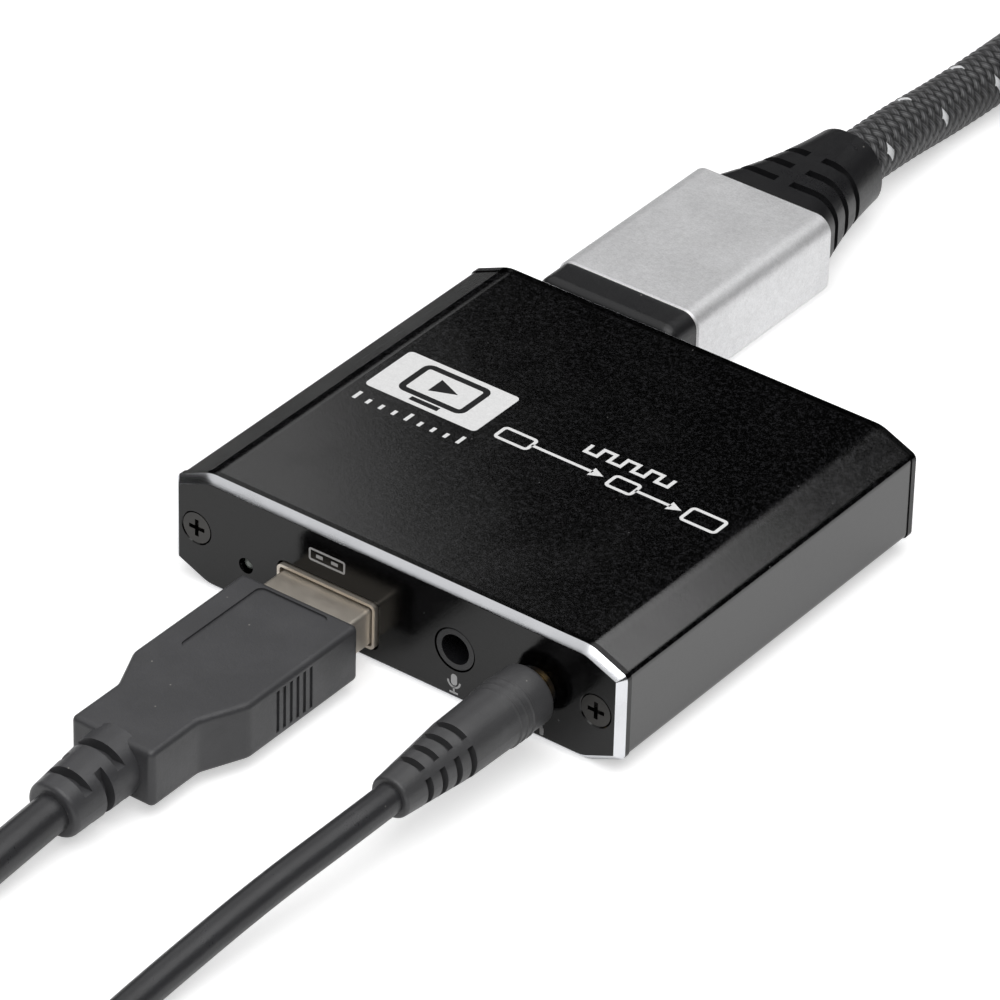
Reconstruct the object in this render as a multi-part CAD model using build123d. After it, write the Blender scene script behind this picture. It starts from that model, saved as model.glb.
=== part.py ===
from build123d import *

import math
import os

# A video capture box: an extruded sleeve closed by two bevelled end plates, with a
# circuit board in its slots, and the three leads that are plugged into it.
# Millimetres. X runs along the front face, Y from front to rear, Z up.
# The origin is under the middle of the box, on the surface that it stands on.

# Clearances shared by the whole model
overrun = 1.0            # how far a cutting shape runs past what it cuts
fit = 0.1                # between pieces of the box that slide or drop together
plug_fit = 0.15          # between a plug and its socket, on each side

# Case
case_width = 59.4
case_depth = 54.0
case_height = 14.4
corner_width = 4.65      # each long corner is cut off, this wide and
corner_height = 2.0      # this high
top_round = 4.0          # rounding where the cut meets the flat top or bottom
side_round = 0.9         # rounding where the cut meets the side
wall = 1.0
plate_thickness = 1.6
plate_bevel = 0.9
sleeve_inset = 0.12      # the sleeve stands this far inside the plates' outline
sleeve_front = -case_depth / 2 + plate_thickness
sleeve_rear = -sleeve_front

# Circuit board and the slots that hold it
board_top = 2.2
board_thickness = 0.9
board_from_side = 3.4     # the board's long edges lie this far inside the case's sides
board_end_gap = 0.2
rail_thickness = 0.75
rail_width = 1.5
board_corner = 1.2
board_width = case_width - 2 * board_from_side

# End screws and their channels in the sleeve
screw_from_side = 3.3
screw_height = case_height / 2
screw_head = 3.7
screw_head_height = 1.0
screw_shank = 1.7
screw_length = 7.0
screw_sunk = 0.05
sink_mouth = 4.1
sink_depth = 1.1
screw_hole = 2.0
channel_outside = 3.8
channel_bore = 1.8
channel_slit = 0.7
channel_web = 2.1
cross_length = 2.1
cross_width = 0.5
cross_depth = 0.65

# Status light
light_x_share = -0.3308   # places along the plate are shares of the case's width
light_x = light_x_share * case_width
light_z = 5.25
light_hole = 1.9
light_lens = 1.7
light_flange = 2.3
light_flange_length = 0.6
light_length = 2.6
light_recess = 0.4
light_leg = 0.4
light_leg_reach = 1.6
light_leg_spacing = 1.27

# USB socket
usb_x_share = -0.1448
usb_x = usb_x_share * case_width
usb_width = 13.1
usb_height = 5.7
usb_wall = 0.35
usb_corner = 0.7
usb_depth = 14.0
usb_proud = 0.4          # how far the socket's mouth stands out of the plate
usb_back_wall = 2.2
usb_tongue_width = 10.6
usb_tongue_thickness = 1.6
usb_tongue_recess = 1.3
usb_cut_gap = 0.25
usb_window_width = 2.0
usb_window_length = 5.0
usb_window_spacing = 6.2
usb_leg_length = 1.8
usb_leg_spacing = 6.0
usb_contact_width = 1.0
usb_contact_thickness = 0.1
usb_contact_length = 7.0
usb_contact_pitch = 2.25
usb_z = board_top + usb_height / 2

# Round audio sockets, microphone left and headphones right
microphone_x_share = 0.138
headphone_x_share = 0.3148
microphone_x = microphone_x_share * case_width
headphone_x = headphone_x_share * case_width
jack_z = 6.75
jack_bore = 3.6
jack_ring = 4.9
jack_hole = 5.3
jack_ring_sunk = 0.1
jack_body_width = 7.0
jack_body_length = 13.0
jack_body_height = 8.4
jack_body_edge = 0.5
jack_bore_depth = 14.2
jack_pin_width = 1.2
jack_pin_thickness = 0.25
jack_pin_height = 4.6
jack_pin_pitch = 3.6
jack_foot = 0.8

# Video sockets in the rear plate, in on the left seen from the front, out on the right
video_from_side = 13.5
video_from_middle = case_width / 2 - video_from_side
video_z = 5.15
video_plug_width = 13.9
video_plug_height = 4.45
video_skirt_height = 2.7   # height of the straight sides, above the slanted ones
video_foot_inset = 1.5     # how much narrower the bottom is, on each side
video_foot_share = 0.5     # how far the slanted sides move, as a share of the growth
video_wall = 0.35
video_depth = 11.6
video_proud = 0.3
video_lip = 0.35
video_lip_length = 0.35
video_tongue_width = 11.0
video_tongue_thickness = 1.0
video_tongue_recess = 1.6
video_back_wall = 1.4
video_cut_gap = 0.2
video_leg_length = 1.6
video_leg_spacing = 7.0
video_contact_pitch = 1.0
video_contact_width = 0.34
video_contact_thickness = 0.08
video_contact_length = 6.0
video_upper_contacts = 10
video_lower_contacts = 9

# Pieces soldered to the board: width, depth and height. Their places are shares:
# of the board's width from its middle, and of the free depth between the front
# sockets and the rear ones.
chip_edge = 0.15
chip_mark = 0.9
chip_mark_depth = 0.1
capture_chip_size = (9.0, 9.0, 0.9)
capture_chip_shares = (-0.133, 0.4)
splitter_chip_size = (8.0, 8.0, 0.9)
splitter_chip_shares = (0.057, 0.72)
memory_chip_size = (4.9, 3.9, 1.5)
memory_chip_shares = (0.105, 0.2)
memory_leg_size = (0.4, 1.0, 0.6)
memory_leg_pitch = 1.27
memory_leg_count = 4
sound_chip_size = (5.0, 5.0, 0.9)
sound_chip_shares = (0.266, 0.3)
crystal_size = (5.0, 3.2, 1.1)
crystal_corner = 0.5
crystal_shares = ((-0.314, 0.386), (-0.314, 0.618))
choke_size = (4.0, 4.0, 2.0)
choke_corner = 0.9
choke_shares = ((0.238, 0.6), (0.342, 0.6))
small_part_size = (1.6, 0.8, 0.6)
small_part_pitch = 2.2
small_part_count = 5
small_part_shares = ((-0.162, 0.8), (-0.162, 0.9), (0.285, 0.86))
can_diameter = 4.0
can_height = 5.4
can_base = 4.3
can_base_height = 0.8
front_can_from_side = 8.2
front_can_from_front = 9.9
side_can_from_side = 7.7
side_can_share = 0.19

# USB lead: plug, overmould, strain relief and cord
usb_metal_width = 12.0
usb_metal_height = 4.5
usb_metal_wall = 0.3
usb_metal_corner = 0.5
usb_metal_length = 12.4
usb_metal_root = 6.0
usb_core_height = 1.85
usb_core_recess = 0.4
usb_hole_size = 2.3
usb_hole_spacing = 5.4
usb_hole_from_tip = 5.0
usb_gap_to_plate = 4.6
usb_mould_thickness = 7.0
usb_mould_width = 15.5
usb_mould_rear_width = 10.8
usb_mould_length = 31.0
usb_waist_start = 18.1
usb_waist_end = 23.4
usb_waist_round = 2.2
usb_mould_edge = 0.7
usb_panel_width = 9.4
usb_panel_length = 13.6
usb_panel_from_front = 0.9
usb_panel_depth = 0.25
usb_panel_corner = 0.9
grip_count = 6
grip_pitch = 1.1
grip_width = 0.5
grip_depth = 0.25
grip_height = 5.2
grip_from_front = 8.0
usb_relief_length = 9.4
usb_relief_root = 7.7
usb_relief_tip = 6.6
usb_relief_edge = 0.6
usb_relief_sunk = 1.5
usb_slot_width = 1.15
usb_slot_depth = 1.2
usb_slot_first = 1.9
usb_slot_pitch = 2.45
usb_slot_count = 3
usb_slot_share = 0.55     # where a slot's flat end lies, as a share of the radius
usb_droop = 5.0           # degrees that the relief hangs down at the box
usb_cord = 4.4
usb_travel = 12.0

# Audio lead
audio_pin = 3.5
audio_pin_length = 14.0
audio_sleeve_end = 5.6
audio_band = 0.7
audio_ring_end = 9.1
audio_tip_neck = 2.3
audio_neck_from_tip = 2.6
audio_tip_point = 1.1
audio_gap_to_plate = 1.4
barrel_diameter = 7.2
barrel_rear_diameter = 6.7
barrel_length = 12.6
barrel_front_edge = 0.45
barrel_ridge = 0.14
barrel_ridge_width = 0.55
barrel_ridge_pitch = 1.05
barrel_ridge_first = 3.4
barrel_ridge_count = 3
audio_relief_length = 10.6
audio_relief_tip = 4.8
audio_relief_edge = 0.4
audio_slot_width = 0.85
audio_slot_depth = 0.85
audio_slot_first = 0.7
audio_slot_pitch = 2.15
audio_slot_count = 4
audio_bridge = 1.0
audio_cord = 3.5
audio_travel = 15.0

# Video lead
video_metal_length = 11.0
video_metal_wall = 0.3
video_metal_root = 3.0
video_core_recess = 0.5
video_core_slot_width = 11.6
video_core_slot_height = 1.6
video_core_slot_depth = 9.4
video_gap_to_plate = 1.6
nose_width = 17.2
nose_height = 8.4
nose_length = 3.6
collar_width = 19.0
collar_height = 9.9
collar_length = 4.4
collar_round = 2.0
collar_front_round = 1.1
cover_width = 19.4
cover_height = 10.3
cover_length = 26.0
cover_wall = 0.7
cover_round = 2.1
cover_edge = 0.2
core_split_share = 0.5    # where the collar's core meets the boot's, along the cover
boot_length = 17.2
boot_middle_share = 0.5
boot_root_size = (17.4, 8.7)
boot_middle_size = (13.0, 8.9)
boot_tip_size = (9.9, 9.5)
boot_root_round = 2.4
boot_middle_round = 3.9
boot_tip_round = 4.4
boot_slot_first = 4.2
boot_slot_pitch = 3.2
boot_slot_count = 3
boot_slot_width = 1.1
boot_slot_depth = 1.0
boot_bridge = 2.0
video_cord = 7.0
video_travel = 12.0

# Bends of a cord, as a share of what the shorter run beside them allows
bend_share = 0.45

# Put-away hanks: radius of the half turns, length of the runs, number of layers,
# and the clear space left between one layer and the next
turn_space = 0.5
usb_hank_radius = 13.2
usb_hank_run = 95.5
usb_hank_layers = 2
audio_hank_radius = 11.8
audio_hank_run = 82.0
audio_hank_layers = 3
video_hank_radius = 21.0
video_hank_run = 121.5
video_hank_layers = 2
climb_share = 0.6         # the part of a climbing run over which it climbs
gap_samples = 4           # points measured in each diameter of length
gap_reach = 3             # diameters of length between two points that are compared

# Places worked out from the sizes above
usb_mouth = -case_depth / 2 - usb_proud
usb_plug_place = (usb_x, -case_depth / 2 - usb_gap_to_plate, usb_z - fit)
audio_plug_place = (headphone_x, -case_depth / 2 - audio_gap_to_plate, jack_z)
video_plug_place = (-video_from_middle, case_depth / 2 + video_gap_to_plate, video_z)
video_plug_length = nose_length + collar_length + cover_length + boot_length
droop_sine = math.sin(math.radians(usb_droop))
droop_cosine = math.cos(math.radians(usb_droop))
usb_exit = (
    usb_x,
    usb_plug_place[1] - usb_mould_length - usb_relief_length * droop_cosine,
    usb_plug_place[2] - usb_relief_length * droop_sine,
)
audio_exit = (
    headphone_x,
    audio_plug_place[1] - barrel_length - audio_relief_length,
    jack_z,
)
video_exit = (-video_from_middle, video_plug_place[1] + video_plug_length, video_z)

# Routes of the free cords, from the strain relief to where the hank starts.
# Each first run follows the relief and each last run meets the hank squarely.
usb_first_run = 7.2
usb_route = [
    usb_exit,
    (
        usb_x,
        usb_exit[1] - usb_first_run * droop_cosine,
        usb_exit[2] - usb_first_run * droop_sine,
    ),
    (-8.9, -88.0, usb_cord / 2),
    (-5.8, -98.5, usb_cord / 2),
    (-1.8, -108.7, usb_cord / 2),
    (-1.8, -118.0, usb_cord / 2),
]
audio_route = [
    audio_exit,
    (headphone_x, -59.0, jack_z),
    (17.3, -70.0, 5.2),
    (16.1, -83.0, 2.9),
    (16.0, -95.0, audio_cord / 2),
    (18.3, -106.5, audio_cord / 2),
    (23.2, -117.5, audio_cord / 2),
    (27.4, -128.5, audio_cord / 2),
    (27.4, -138.0, audio_cord / 2),
]
video_route = [
    video_exit,
    (-video_from_middle, 88.5, video_z),
    (-16.6, 101.0, video_cord / 2),
    (-16.2, 115.0, video_cord / 2),
    (-16.2, 128.0, video_cord / 2),
]
# The tails from the top of each hank down to the far plug inside it: run along the
# top, run inwards, run downwards and last run, and how far the tail moves in.
usb_tail_runs = (10.5, 11.5, 11.5, 11.0)
usb_tail_shift = 10.6
audio_tail_runs = (8.2, 9.0, 11.0, 8.2)
audio_tail_shift = 8.0
video_tail_runs = (17.0, 16.5, 16.5, 18.5)
video_tail_shift = 14.2
tail_shift_share = 0.5    # what the run inwards takes of the way in
tail_drop_share = 0.15    # and of the way down


# Shapes used by several pieces


def block(x_near, x_far, y_near, y_far, z_near, z_far):
    """A box between two corners."""
    size = Box(x_far - x_near, y_far - y_near, z_far - z_near)
    return Pos((x_near + x_far) / 2, (y_near + y_far) / 2, (z_near + z_far) / 2) * size


def prism(face, y_near, y_far):
    """A face drawn in X and Z, carried along Y."""
    return extrude(Plane.XZ.offset(-y_far) * face, amount=y_far - y_near)


def disc(diameter, y_near, y_far, x=0, z=0, far_diameter=None):
    """A round bar along Y, or a cone if its far end differs."""
    end = diameter if far_diameter is None else far_diameter
    bar = Cone(diameter / 2, end / 2, y_far - y_near) if end != diameter else Cylinder(
        diameter / 2, y_far - y_near
    )
    return Pos(x, (y_near + y_far) / 2, z) * Rot(-90, 0, 0) * bar


def rounded(width, height, corner):
    """A rectangle with round corners, in X and Z."""
    return RectangleRounded(width, height, corner)


def case_outline(inset):
    """The case's section: a rectangle with its four long corners cut off."""
    slope = math.hypot(corner_width, corner_height)
    half = case_width / 2 - inset
    flat = case_width / 2 - corner_width - inset * (slope - corner_width) / corner_height
    low = corner_height + inset * (slope - corner_height) / corner_width
    high = case_height - low
    points = [
        (-flat, inset),
        (flat, inset),
        (half, low),
        (half, high),
        (flat, case_height - inset),
        (-flat, case_height - inset),
        (-half, high),
        (-half, low),
    ]
    return Polygon(*points, align=None)


def rounded_case_outline(inset):
    """The same section with its eight corners softened."""
    shape = case_outline(inset)
    middle = case_width / 2 - corner_width / 2
    inner = [corner for corner in shape.vertices() if abs(corner.X) < middle]
    shape = fillet(inner, top_round)
    outer = [
        corner
        for corner in shape.vertices()
        if abs(corner.X) > case_width / 2 - inset - fit
    ]
    return fillet(outer, side_round)


def screw_places():
    """Where the two screws of an end plate stand, in X."""
    return (-case_width / 2 + screw_from_side, case_width / 2 - screw_from_side)


# The box


def make_sleeve():
    """The extruded sleeve, with board slots and a screw channel on each side."""
    section = rounded_case_outline(sleeve_inset) - case_outline(wall)
    half_board = board_width / 2
    ribs = None
    for side, screw_x in zip((-1, 1), screw_places()):
        rail_middle = side * (case_width / 2 - wall + half_board - rail_width) / 2
        rail_reach = case_width / 2 - wall - half_board + rail_width + fit
        rail = Pos(rail_middle, board_top + fit + rail_thickness / 2) * Rectangle(
            rail_reach, rail_thickness
        )
        channel = Pos(screw_x, screw_height) * Circle(channel_outside / 2)
        web_reach = screw_from_side - wall + fit
        web = Pos(screw_x + side * web_reach / 2, screw_height) * Rectangle(
            web_reach, channel_web
        )
        ribs = rail + channel + web if ribs is None else ribs + rail + channel + web
    section += ribs
    board_room = board_thickness + fit
    section -= Pos(0, board_top + fit / 2 - board_room / 2) * Rectangle(
        board_width + fit, board_room
    )
    for side, screw_x in zip((-1, 1), screw_places()):
        section -= Pos(screw_x, screw_height) * Circle(channel_bore / 2)
        section -= Pos(screw_x - side * channel_outside / 2, screw_height) * Rectangle(
            channel_outside, channel_slit
        )
    return prism(section, sleeve_front, sleeve_rear)


def plain_plate(front):
    """An end plate with its polished bevel and countersunk holes, before its ports."""
    outside = -case_depth / 2 if front else case_depth / 2
    inside = sleeve_front if front else sleeve_rear
    plate = prism(rounded_case_outline(0), min(outside, inside), max(outside, inside))
    faces = plate.faces().sort_by(Axis.Y)
    face = faces[0] if front else faces[-1]
    plate = chamfer(face.outer_wire().edges(), plate_bevel)
    for screw_x in screw_places():
        inward = 1 if front else -1
        plate -= disc(
            screw_hole, -case_depth / 2 - overrun, case_depth / 2 + overrun, screw_x, screw_height
        )
        sink = Cone(screw_hole / 2, sink_mouth / 2, sink_depth)
        turn = Rot(90, 0, 0) if front else Rot(-90, 0, 0)
        middle = outside + inward * sink_depth / 2
        plate -= Pos(screw_x, middle, screw_height) * turn * sink
    return plate


def make_front_plate():
    """The front plate, with its openings for the light, the USB and audio sockets."""
    near, far = -case_depth / 2 - overrun, sleeve_front + overrun
    plate = plain_plate(True)
    plate -= disc(light_hole, near, far, light_x, light_z)
    for jack_x in (microphone_x, headphone_x):
        plate -= disc(jack_hole, near, far, jack_x, jack_z)
    opening = rounded(
        usb_width + 2 * usb_cut_gap, usb_height + 2 * usb_cut_gap, usb_corner + usb_cut_gap
    )
    return plate - prism(Pos(usb_x, usb_z) * opening, near, far)


def video_profile(grow):
    """The slanted outline of a video plug, made larger all round by grow."""
    half_top = video_plug_width / 2 + grow
    half_foot = video_plug_width / 2 - video_foot_inset + grow * video_foot_share
    top = video_plug_height / 2 + grow
    skirt = video_plug_height / 2 - video_skirt_height - grow * video_foot_share
    points = [
        (-half_foot, -top),
        (half_foot, -top),
        (half_top, skirt),
        (half_top, top),
        (-half_top, top),
        (-half_top, skirt),
    ]
    return Polygon(*points, align=None)



def make_rear_plate():
    """The rear plate, with the openings of the two video sockets."""
    plate = plain_plate(False)
    grow = plug_fit + video_wall + video_lip + video_cut_gap
    for side in (-1, 1):
        opening = Pos(side * video_from_middle, video_z) * video_profile(grow)
        plate -= prism(opening, sleeve_rear - overrun, case_depth / 2 + overrun)
    return plate


def make_screw():
    """A countersunk screw, head up at the origin, with a cross recess."""
    shank_length = screw_length - screw_head_height
    screw = Pos(0, 0, -screw_head_height / 2) * Cone(
        screw_shank / 2, screw_head / 2, screw_head_height
    )
    screw += Pos(0, 0, -screw_head_height - shank_length / 2) * Cylinder(
        screw_shank / 2, shank_length
    )
    for turn in (0, 90):
        slot = Box(cross_length, cross_width, 2 * cross_depth)
        screw -= Rot(0, 0, turn) * slot
    return screw


def make_screws(front):
    """The two screws of one end plate, their heads just below its face."""
    face = -case_depth / 2 + screw_sunk if front else case_depth / 2 - screw_sunk
    turn = Rot(90, 0, 0) if front else Rot(-90, 0, 0)
    return Compound([Pos(x, face, screw_height) * turn * make_screw() for x in screw_places()])


def make_board():
    """The circuit board, with its four corners cut."""
    half = board_width / 2
    board = block(
        -half,
        half,
        sleeve_front + board_end_gap,
        sleeve_rear - board_end_gap,
        board_top - board_thickness,
        board_top,
    )
    return chamfer(board.edges().filter_by(Axis.Z), board_corner)


# Sockets


def make_usb_shell():
    """The USB socket's sheet metal shell, with spring windows in its roof and four feet."""
    back = usb_mouth + usb_depth
    outside = Pos(usb_x, usb_z) * rounded(usb_width, usb_height, usb_corner)
    inside = Pos(usb_x, usb_z) * rounded(
        usb_width - 2 * usb_wall, usb_height - 2 * usb_wall, usb_corner - usb_wall
    )
    shell = prism(outside, usb_mouth, back) - prism(inside, usb_mouth - overrun, back - usb_wall)
    top = usb_z + usb_height / 2
    middle = (usb_mouth + back) / 2
    for side in (-1, 1):
        x = usb_x + side * usb_window_spacing / 2
        shell -= block(
            x - usb_window_width / 2,
            x + usb_window_width / 2,
            middle - usb_window_length / 2,
            middle + usb_window_length / 2,
            top - 2 * usb_wall,
            top + overrun,
        )
    for side in (-1, 1):
        outer = usb_x + side * (usb_width / 2 + usb_wall)
        inner = usb_x + side * usb_width / 2
        for step in (-1, 1):
            y = middle + step * usb_leg_spacing / 2
            shell += block(
                min(outer, inner),
                max(outer, inner),
                y - usb_leg_length / 2,
                y + usb_leg_length / 2,
                board_top,
                usb_z,
            )
    return shell


def make_usb_tongue():
    """The insulator of the USB socket: a block at the back and the tongue it carries."""
    inside_back = usb_mouth + usb_depth - usb_wall
    half = usb_width / 2 - usb_wall - fit
    low = usb_z - usb_height / 2 + usb_wall + fit
    high = usb_z + usb_height / 2 - usb_wall - fit
    insulator = block(
        usb_x - half, usb_x + half, inside_back - usb_back_wall, inside_back, low, high
    )
    insulator += block(
        usb_x - usb_tongue_width / 2,
        usb_x + usb_tongue_width / 2,
        usb_mouth + usb_tongue_recess,
        inside_back - usb_back_wall,
        usb_tongue_bottom(),
        usb_tongue_bottom() + usb_tongue_thickness,
    )
    return insulator


def usb_tongue_bottom():
    """Height of the tongue's underside, clear of the plug's shell above it."""
    roof = usb_z - fit + usb_metal_height / 2 - usb_metal_wall
    return roof - plug_fit - usb_tongue_thickness


def make_usb_contacts():
    """The four contacts under the tongue of the USB socket."""
    strips = []
    start = usb_mouth + usb_tongue_recess + usb_wall
    for place in range(-2, 2):
        x = usb_x + (place + 0.5) * usb_contact_pitch
        strips.append(
            block(
                x - usb_contact_width / 2,
                x + usb_contact_width / 2,
                start,
                start + usb_contact_length,
                usb_tongue_bottom() - usb_contact_thickness,
                usb_tongue_bottom(),
            )
        )
    return Compound(strips)


def make_jack_body(jack_x):
    """A moulded audio socket with the ring that shows in the front plate."""
    front = sleeve_front + fit
    body = block(
        jack_x - jack_body_width / 2,
        jack_x + jack_body_width / 2,
        front,
        front + jack_body_length,
        board_top,
        board_top + jack_body_height,
    )
    body = chamfer(body.edges().filter_by(Axis.Y), jack_body_edge)
    mouth = -case_depth / 2 + jack_ring_sunk
    body += disc(jack_ring, mouth, front + fit, jack_x, jack_z)
    return body - disc(jack_bore, mouth - overrun, mouth + jack_bore_depth, jack_x, jack_z)


def make_jack_pins(jack_x):
    """The solder pins on both sides of an audio socket, with their feet on the board."""
    pins = []
    middle = sleeve_front + fit + jack_body_length / 2
    for side in (-1, 1):
        inner = jack_x + side * jack_body_width / 2
        outer = inner + side * jack_pin_thickness
        foot_end = inner + side * jack_foot
        for step in (-1, 0, 1):
            near = middle + step * jack_pin_pitch - jack_pin_width / 2
            far = near + jack_pin_width
            high = board_top + jack_pin_height
            pin = block(min(inner, outer), max(inner, outer), near, far, board_top, high)
            foot_top = board_top + jack_pin_thickness
            pin += block(min(inner, foot_end), max(inner, foot_end), near, far, board_top, foot_top)
            pins.append(pin)
    return Compound(pins)


def make_video_shell(side):
    """A video socket's shell, with its lip, closed back and four feet."""
    x = side * video_from_middle
    mouth = case_depth / 2 + video_proud
    back = mouth - video_depth
    inner = Pos(x, video_z) * video_profile(plug_fit)
    outer = Pos(x, video_z) * video_profile(plug_fit + video_wall)
    lip = Pos(x, video_z) * video_profile(plug_fit + video_wall + video_lip)
    shell = prism(outer, back, mouth) + prism(lip, mouth - video_lip_length, mouth)
    shell -= prism(inner, back + video_wall, mouth + overrun)
    half = video_plug_width / 2 + plug_fit + video_wall
    middle = (sleeve_rear + back) / 2
    for turn in (-1, 1):
        edge = x + turn * (half - video_wall)
        outer_edge = x + turn * half
        for step in (-1, 1):
            y = middle + step * video_leg_spacing / 2
            shell += block(
                min(edge, outer_edge),
                max(edge, outer_edge),
                y - video_leg_length / 2,
                y + video_leg_length / 2,
                board_top,
                video_z,
            )
    return shell


def make_video_tongue(side):
    """The insulator of a video socket: a block at the back and a thin tongue."""
    x = side * video_from_middle
    mouth = case_depth / 2 + video_proud
    back = mouth - video_depth + video_wall
    insulator = prism(
        Pos(x, video_z) * video_profile(plug_fit - fit), back, back + video_back_wall
    )
    return insulator + block(
        x - video_tongue_width / 2,
        x + video_tongue_width / 2,
        back,
        mouth - video_tongue_recess,
        video_z - video_tongue_thickness / 2,
        video_z + video_tongue_thickness / 2,
    )


def make_video_contacts(side):
    """The contacts of a video socket, a row above and a row below its tongue."""
    strips = []
    far = case_depth / 2 + video_proud - video_tongue_recess - video_wall
    for count, turn in ((video_upper_contacts, 1), (video_lower_contacts, -1)):
        surface = video_z + turn * video_tongue_thickness / 2
        top = surface + turn * video_contact_thickness
        for place in range(count):
            x = side * video_from_middle + (place - (count - 1) / 2) * video_contact_pitch
            strips.append(
                block(
                    x - video_contact_width / 2,
                    x + video_contact_width / 2,
                    far - video_contact_length,
                    far,
                    min(surface, top),
                    max(surface, top),
                )
            )
    return Compound(strips)


# Pieces on the board


def board_place(shares):
    """A place on the board from its two shares."""
    front = sleeve_front + fit + jack_body_length
    rear = case_depth / 2 + video_proud - video_depth
    return (shares[0] * board_width, front + shares[1] * (rear - front))


def on_board(shape, place, height):
    """Stands a centred shape of the given height on the board."""
    return Pos(place[0], place[1], board_top + height / 2) * shape


def make_chip(size, shares):
    """A flat chip with a bevelled top edge and the dimple that marks its first pin."""
    width, depth, height = size
    chip = Box(width, depth, height)
    chip = chamfer(chip.faces().sort_by(Axis.Z)[-1].edges(), chip_edge)
    corner = Pos(-width / 2 + chip_mark, -depth / 2 + chip_mark, height / 2)
    chip -= corner * Cylinder(chip_mark / 2, 2 * chip_mark_depth)
    return on_board(chip, board_place(shares), height)


def make_memory_chip():
    """A small chip with a row of bent legs along two sides."""
    depth = memory_chip_size[1]
    leg_width, leg_length, leg_height = memory_leg_size
    middle_x, middle_y = board_place(memory_chip_shares)
    chip = make_chip(memory_chip_size, memory_chip_shares)
    for side in (-1, 1):
        for place in range(memory_leg_count):
            x = middle_x + (place - (memory_leg_count - 1) / 2) * memory_leg_pitch
            inner = middle_y + side * depth / 2
            outer = inner + side * leg_length
            chip += block(
                x - leg_width / 2,
                x + leg_width / 2,
                min(inner, outer),
                max(inner, outer),
                board_top,
                board_top + leg_height,
            )
    return chip


def make_crystals():
    """The two crystals in their flat metal cans."""
    width, depth, height = crystal_size
    can = Box(width, depth, height)
    can = fillet(can.edges().filter_by(Axis.Z), crystal_corner)
    return Compound([on_board(can, board_place(shares), height) for shares in crystal_shares])


def make_chokes():
    """The chokes of the power supply, square with cut corners."""
    width, depth, height = choke_size
    choke = Box(width, depth, height)
    choke = chamfer(choke.edges().filter_by(Axis.Z), choke_corner)
    return Compound([on_board(choke, board_place(shares), height) for shares in choke_shares])


def make_cans():
    """The upright round capacitors, each on its square base."""
    base = Box(can_base, can_base, can_base_height)
    body_height = can_height - can_base_height
    body = Pos(0, 0, can_base_height / 2 + body_height / 2) * Cylinder(
        can_diameter / 2, body_height
    )
    can = base + body
    side_y = board_place((0, side_can_share))[1]
    places = [
        (-case_width / 2 + front_can_from_side, sleeve_front + front_can_from_front),
        (case_width / 2 - side_can_from_side, side_y),
    ]
    return Compound([on_board(can, place, can_base_height) for place in places])


def make_small_parts():
    """Rows of small flat resistors and capacitors."""
    width, depth, height = small_part_size
    parts = []
    for shares in small_part_shares:
        row_x, row_y = board_place(shares)
        for place in range(small_part_count):
            x = row_x + (place - (small_part_count - 1) / 2) * small_part_pitch
            parts.append(on_board(Box(width, depth, height), (x, row_y), height))
    return Compound(parts)


def make_light():
    """The status light: a round lens behind its hole, on two legs bent to the board."""
    tip = -case_depth / 2 + light_recess
    base = tip + light_length
    light = disc(light_lens, tip, base, light_x, light_z)
    light = fillet(light.faces().sort_by(Axis.Y)[0].edges(), light_lens / 2 - fit)
    light += disc(light_flange, base, base + light_flange_length, light_x, light_z)
    start = base + light_flange_length
    for side in (-1, 1):
        x = light_x + side * light_leg_spacing / 2
        near, far = x - light_leg / 2, x + light_leg / 2
        reach = start + light_leg_reach
        light += block(near, far, start, reach, light_z - light_leg / 2, light_z + light_leg / 2)
        light += block(near, far, reach - light_leg, reach, board_top, light_z + light_leg / 2)
    return light


# Plugs. Each is drawn with the middle of its moulding's front face at the origin,
# mating towards +Y, and then put in its place.


def make_usb_metal():
    """The USB plug's folded metal shell, with two square holes above and below."""
    outside = rounded(usb_metal_width, usb_metal_height, usb_metal_corner)
    inside = rounded(
        usb_metal_width - 2 * usb_metal_wall,
        usb_metal_height - 2 * usb_metal_wall,
        usb_metal_corner - usb_metal_wall / 2,
    )
    shell = prism(outside, -usb_metal_root, usb_metal_length)
    shell -= prism(inside, -usb_metal_root - overrun, usb_metal_length + overrun)
    for side in (-1, 1):
        x = side * usb_hole_spacing / 2
        shell -= block(
            x - usb_hole_size / 2,
            x + usb_hole_size / 2,
            usb_metal_length - usb_hole_from_tip - usb_hole_size,
            usb_metal_length - usb_hole_from_tip,
            -usb_metal_height,
            usb_metal_height,
        )
    return shell


def make_usb_core():
    """The insulator in the lower half of the USB plug."""
    half = usb_metal_width / 2 - usb_metal_wall - fit
    low = -usb_metal_height / 2 + usb_metal_wall
    core = block(
        -half,
        half,
        -usb_metal_root,
        usb_metal_length - usb_core_recess,
        low,
        low + usb_core_height,
    )
    lower = core.edges().filter_by(Axis.Y).sort_by(Axis.Z)[:2]
    return chamfer(lower, usb_metal_corner)


def make_usb_plug_contacts():
    """The four contacts that lie on the insulator of the USB plug."""
    surface = -usb_metal_height / 2 + usb_metal_wall + usb_core_height
    tip = usb_metal_length - 2 * usb_core_recess
    strips = []
    for place in range(-2, 2):
        x = (place + 0.5) * usb_contact_pitch
        strips.append(
            block(
                x - usb_contact_width / 2,
                x + usb_contact_width / 2,
                tip - usb_contact_length,
                tip,
                surface,
                surface + usb_contact_thickness / 2,
            )
        )
    return Compound(strips)


def ring_slot(outer, depth, width, y):
    """A groove all round a bar on the Y axis, cut inwards from the outer diameter."""
    ring = disc(outer + overrun, y - width / 2, y + width / 2)
    return ring - disc(outer - 2 * depth, y - width, y + width)


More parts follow.
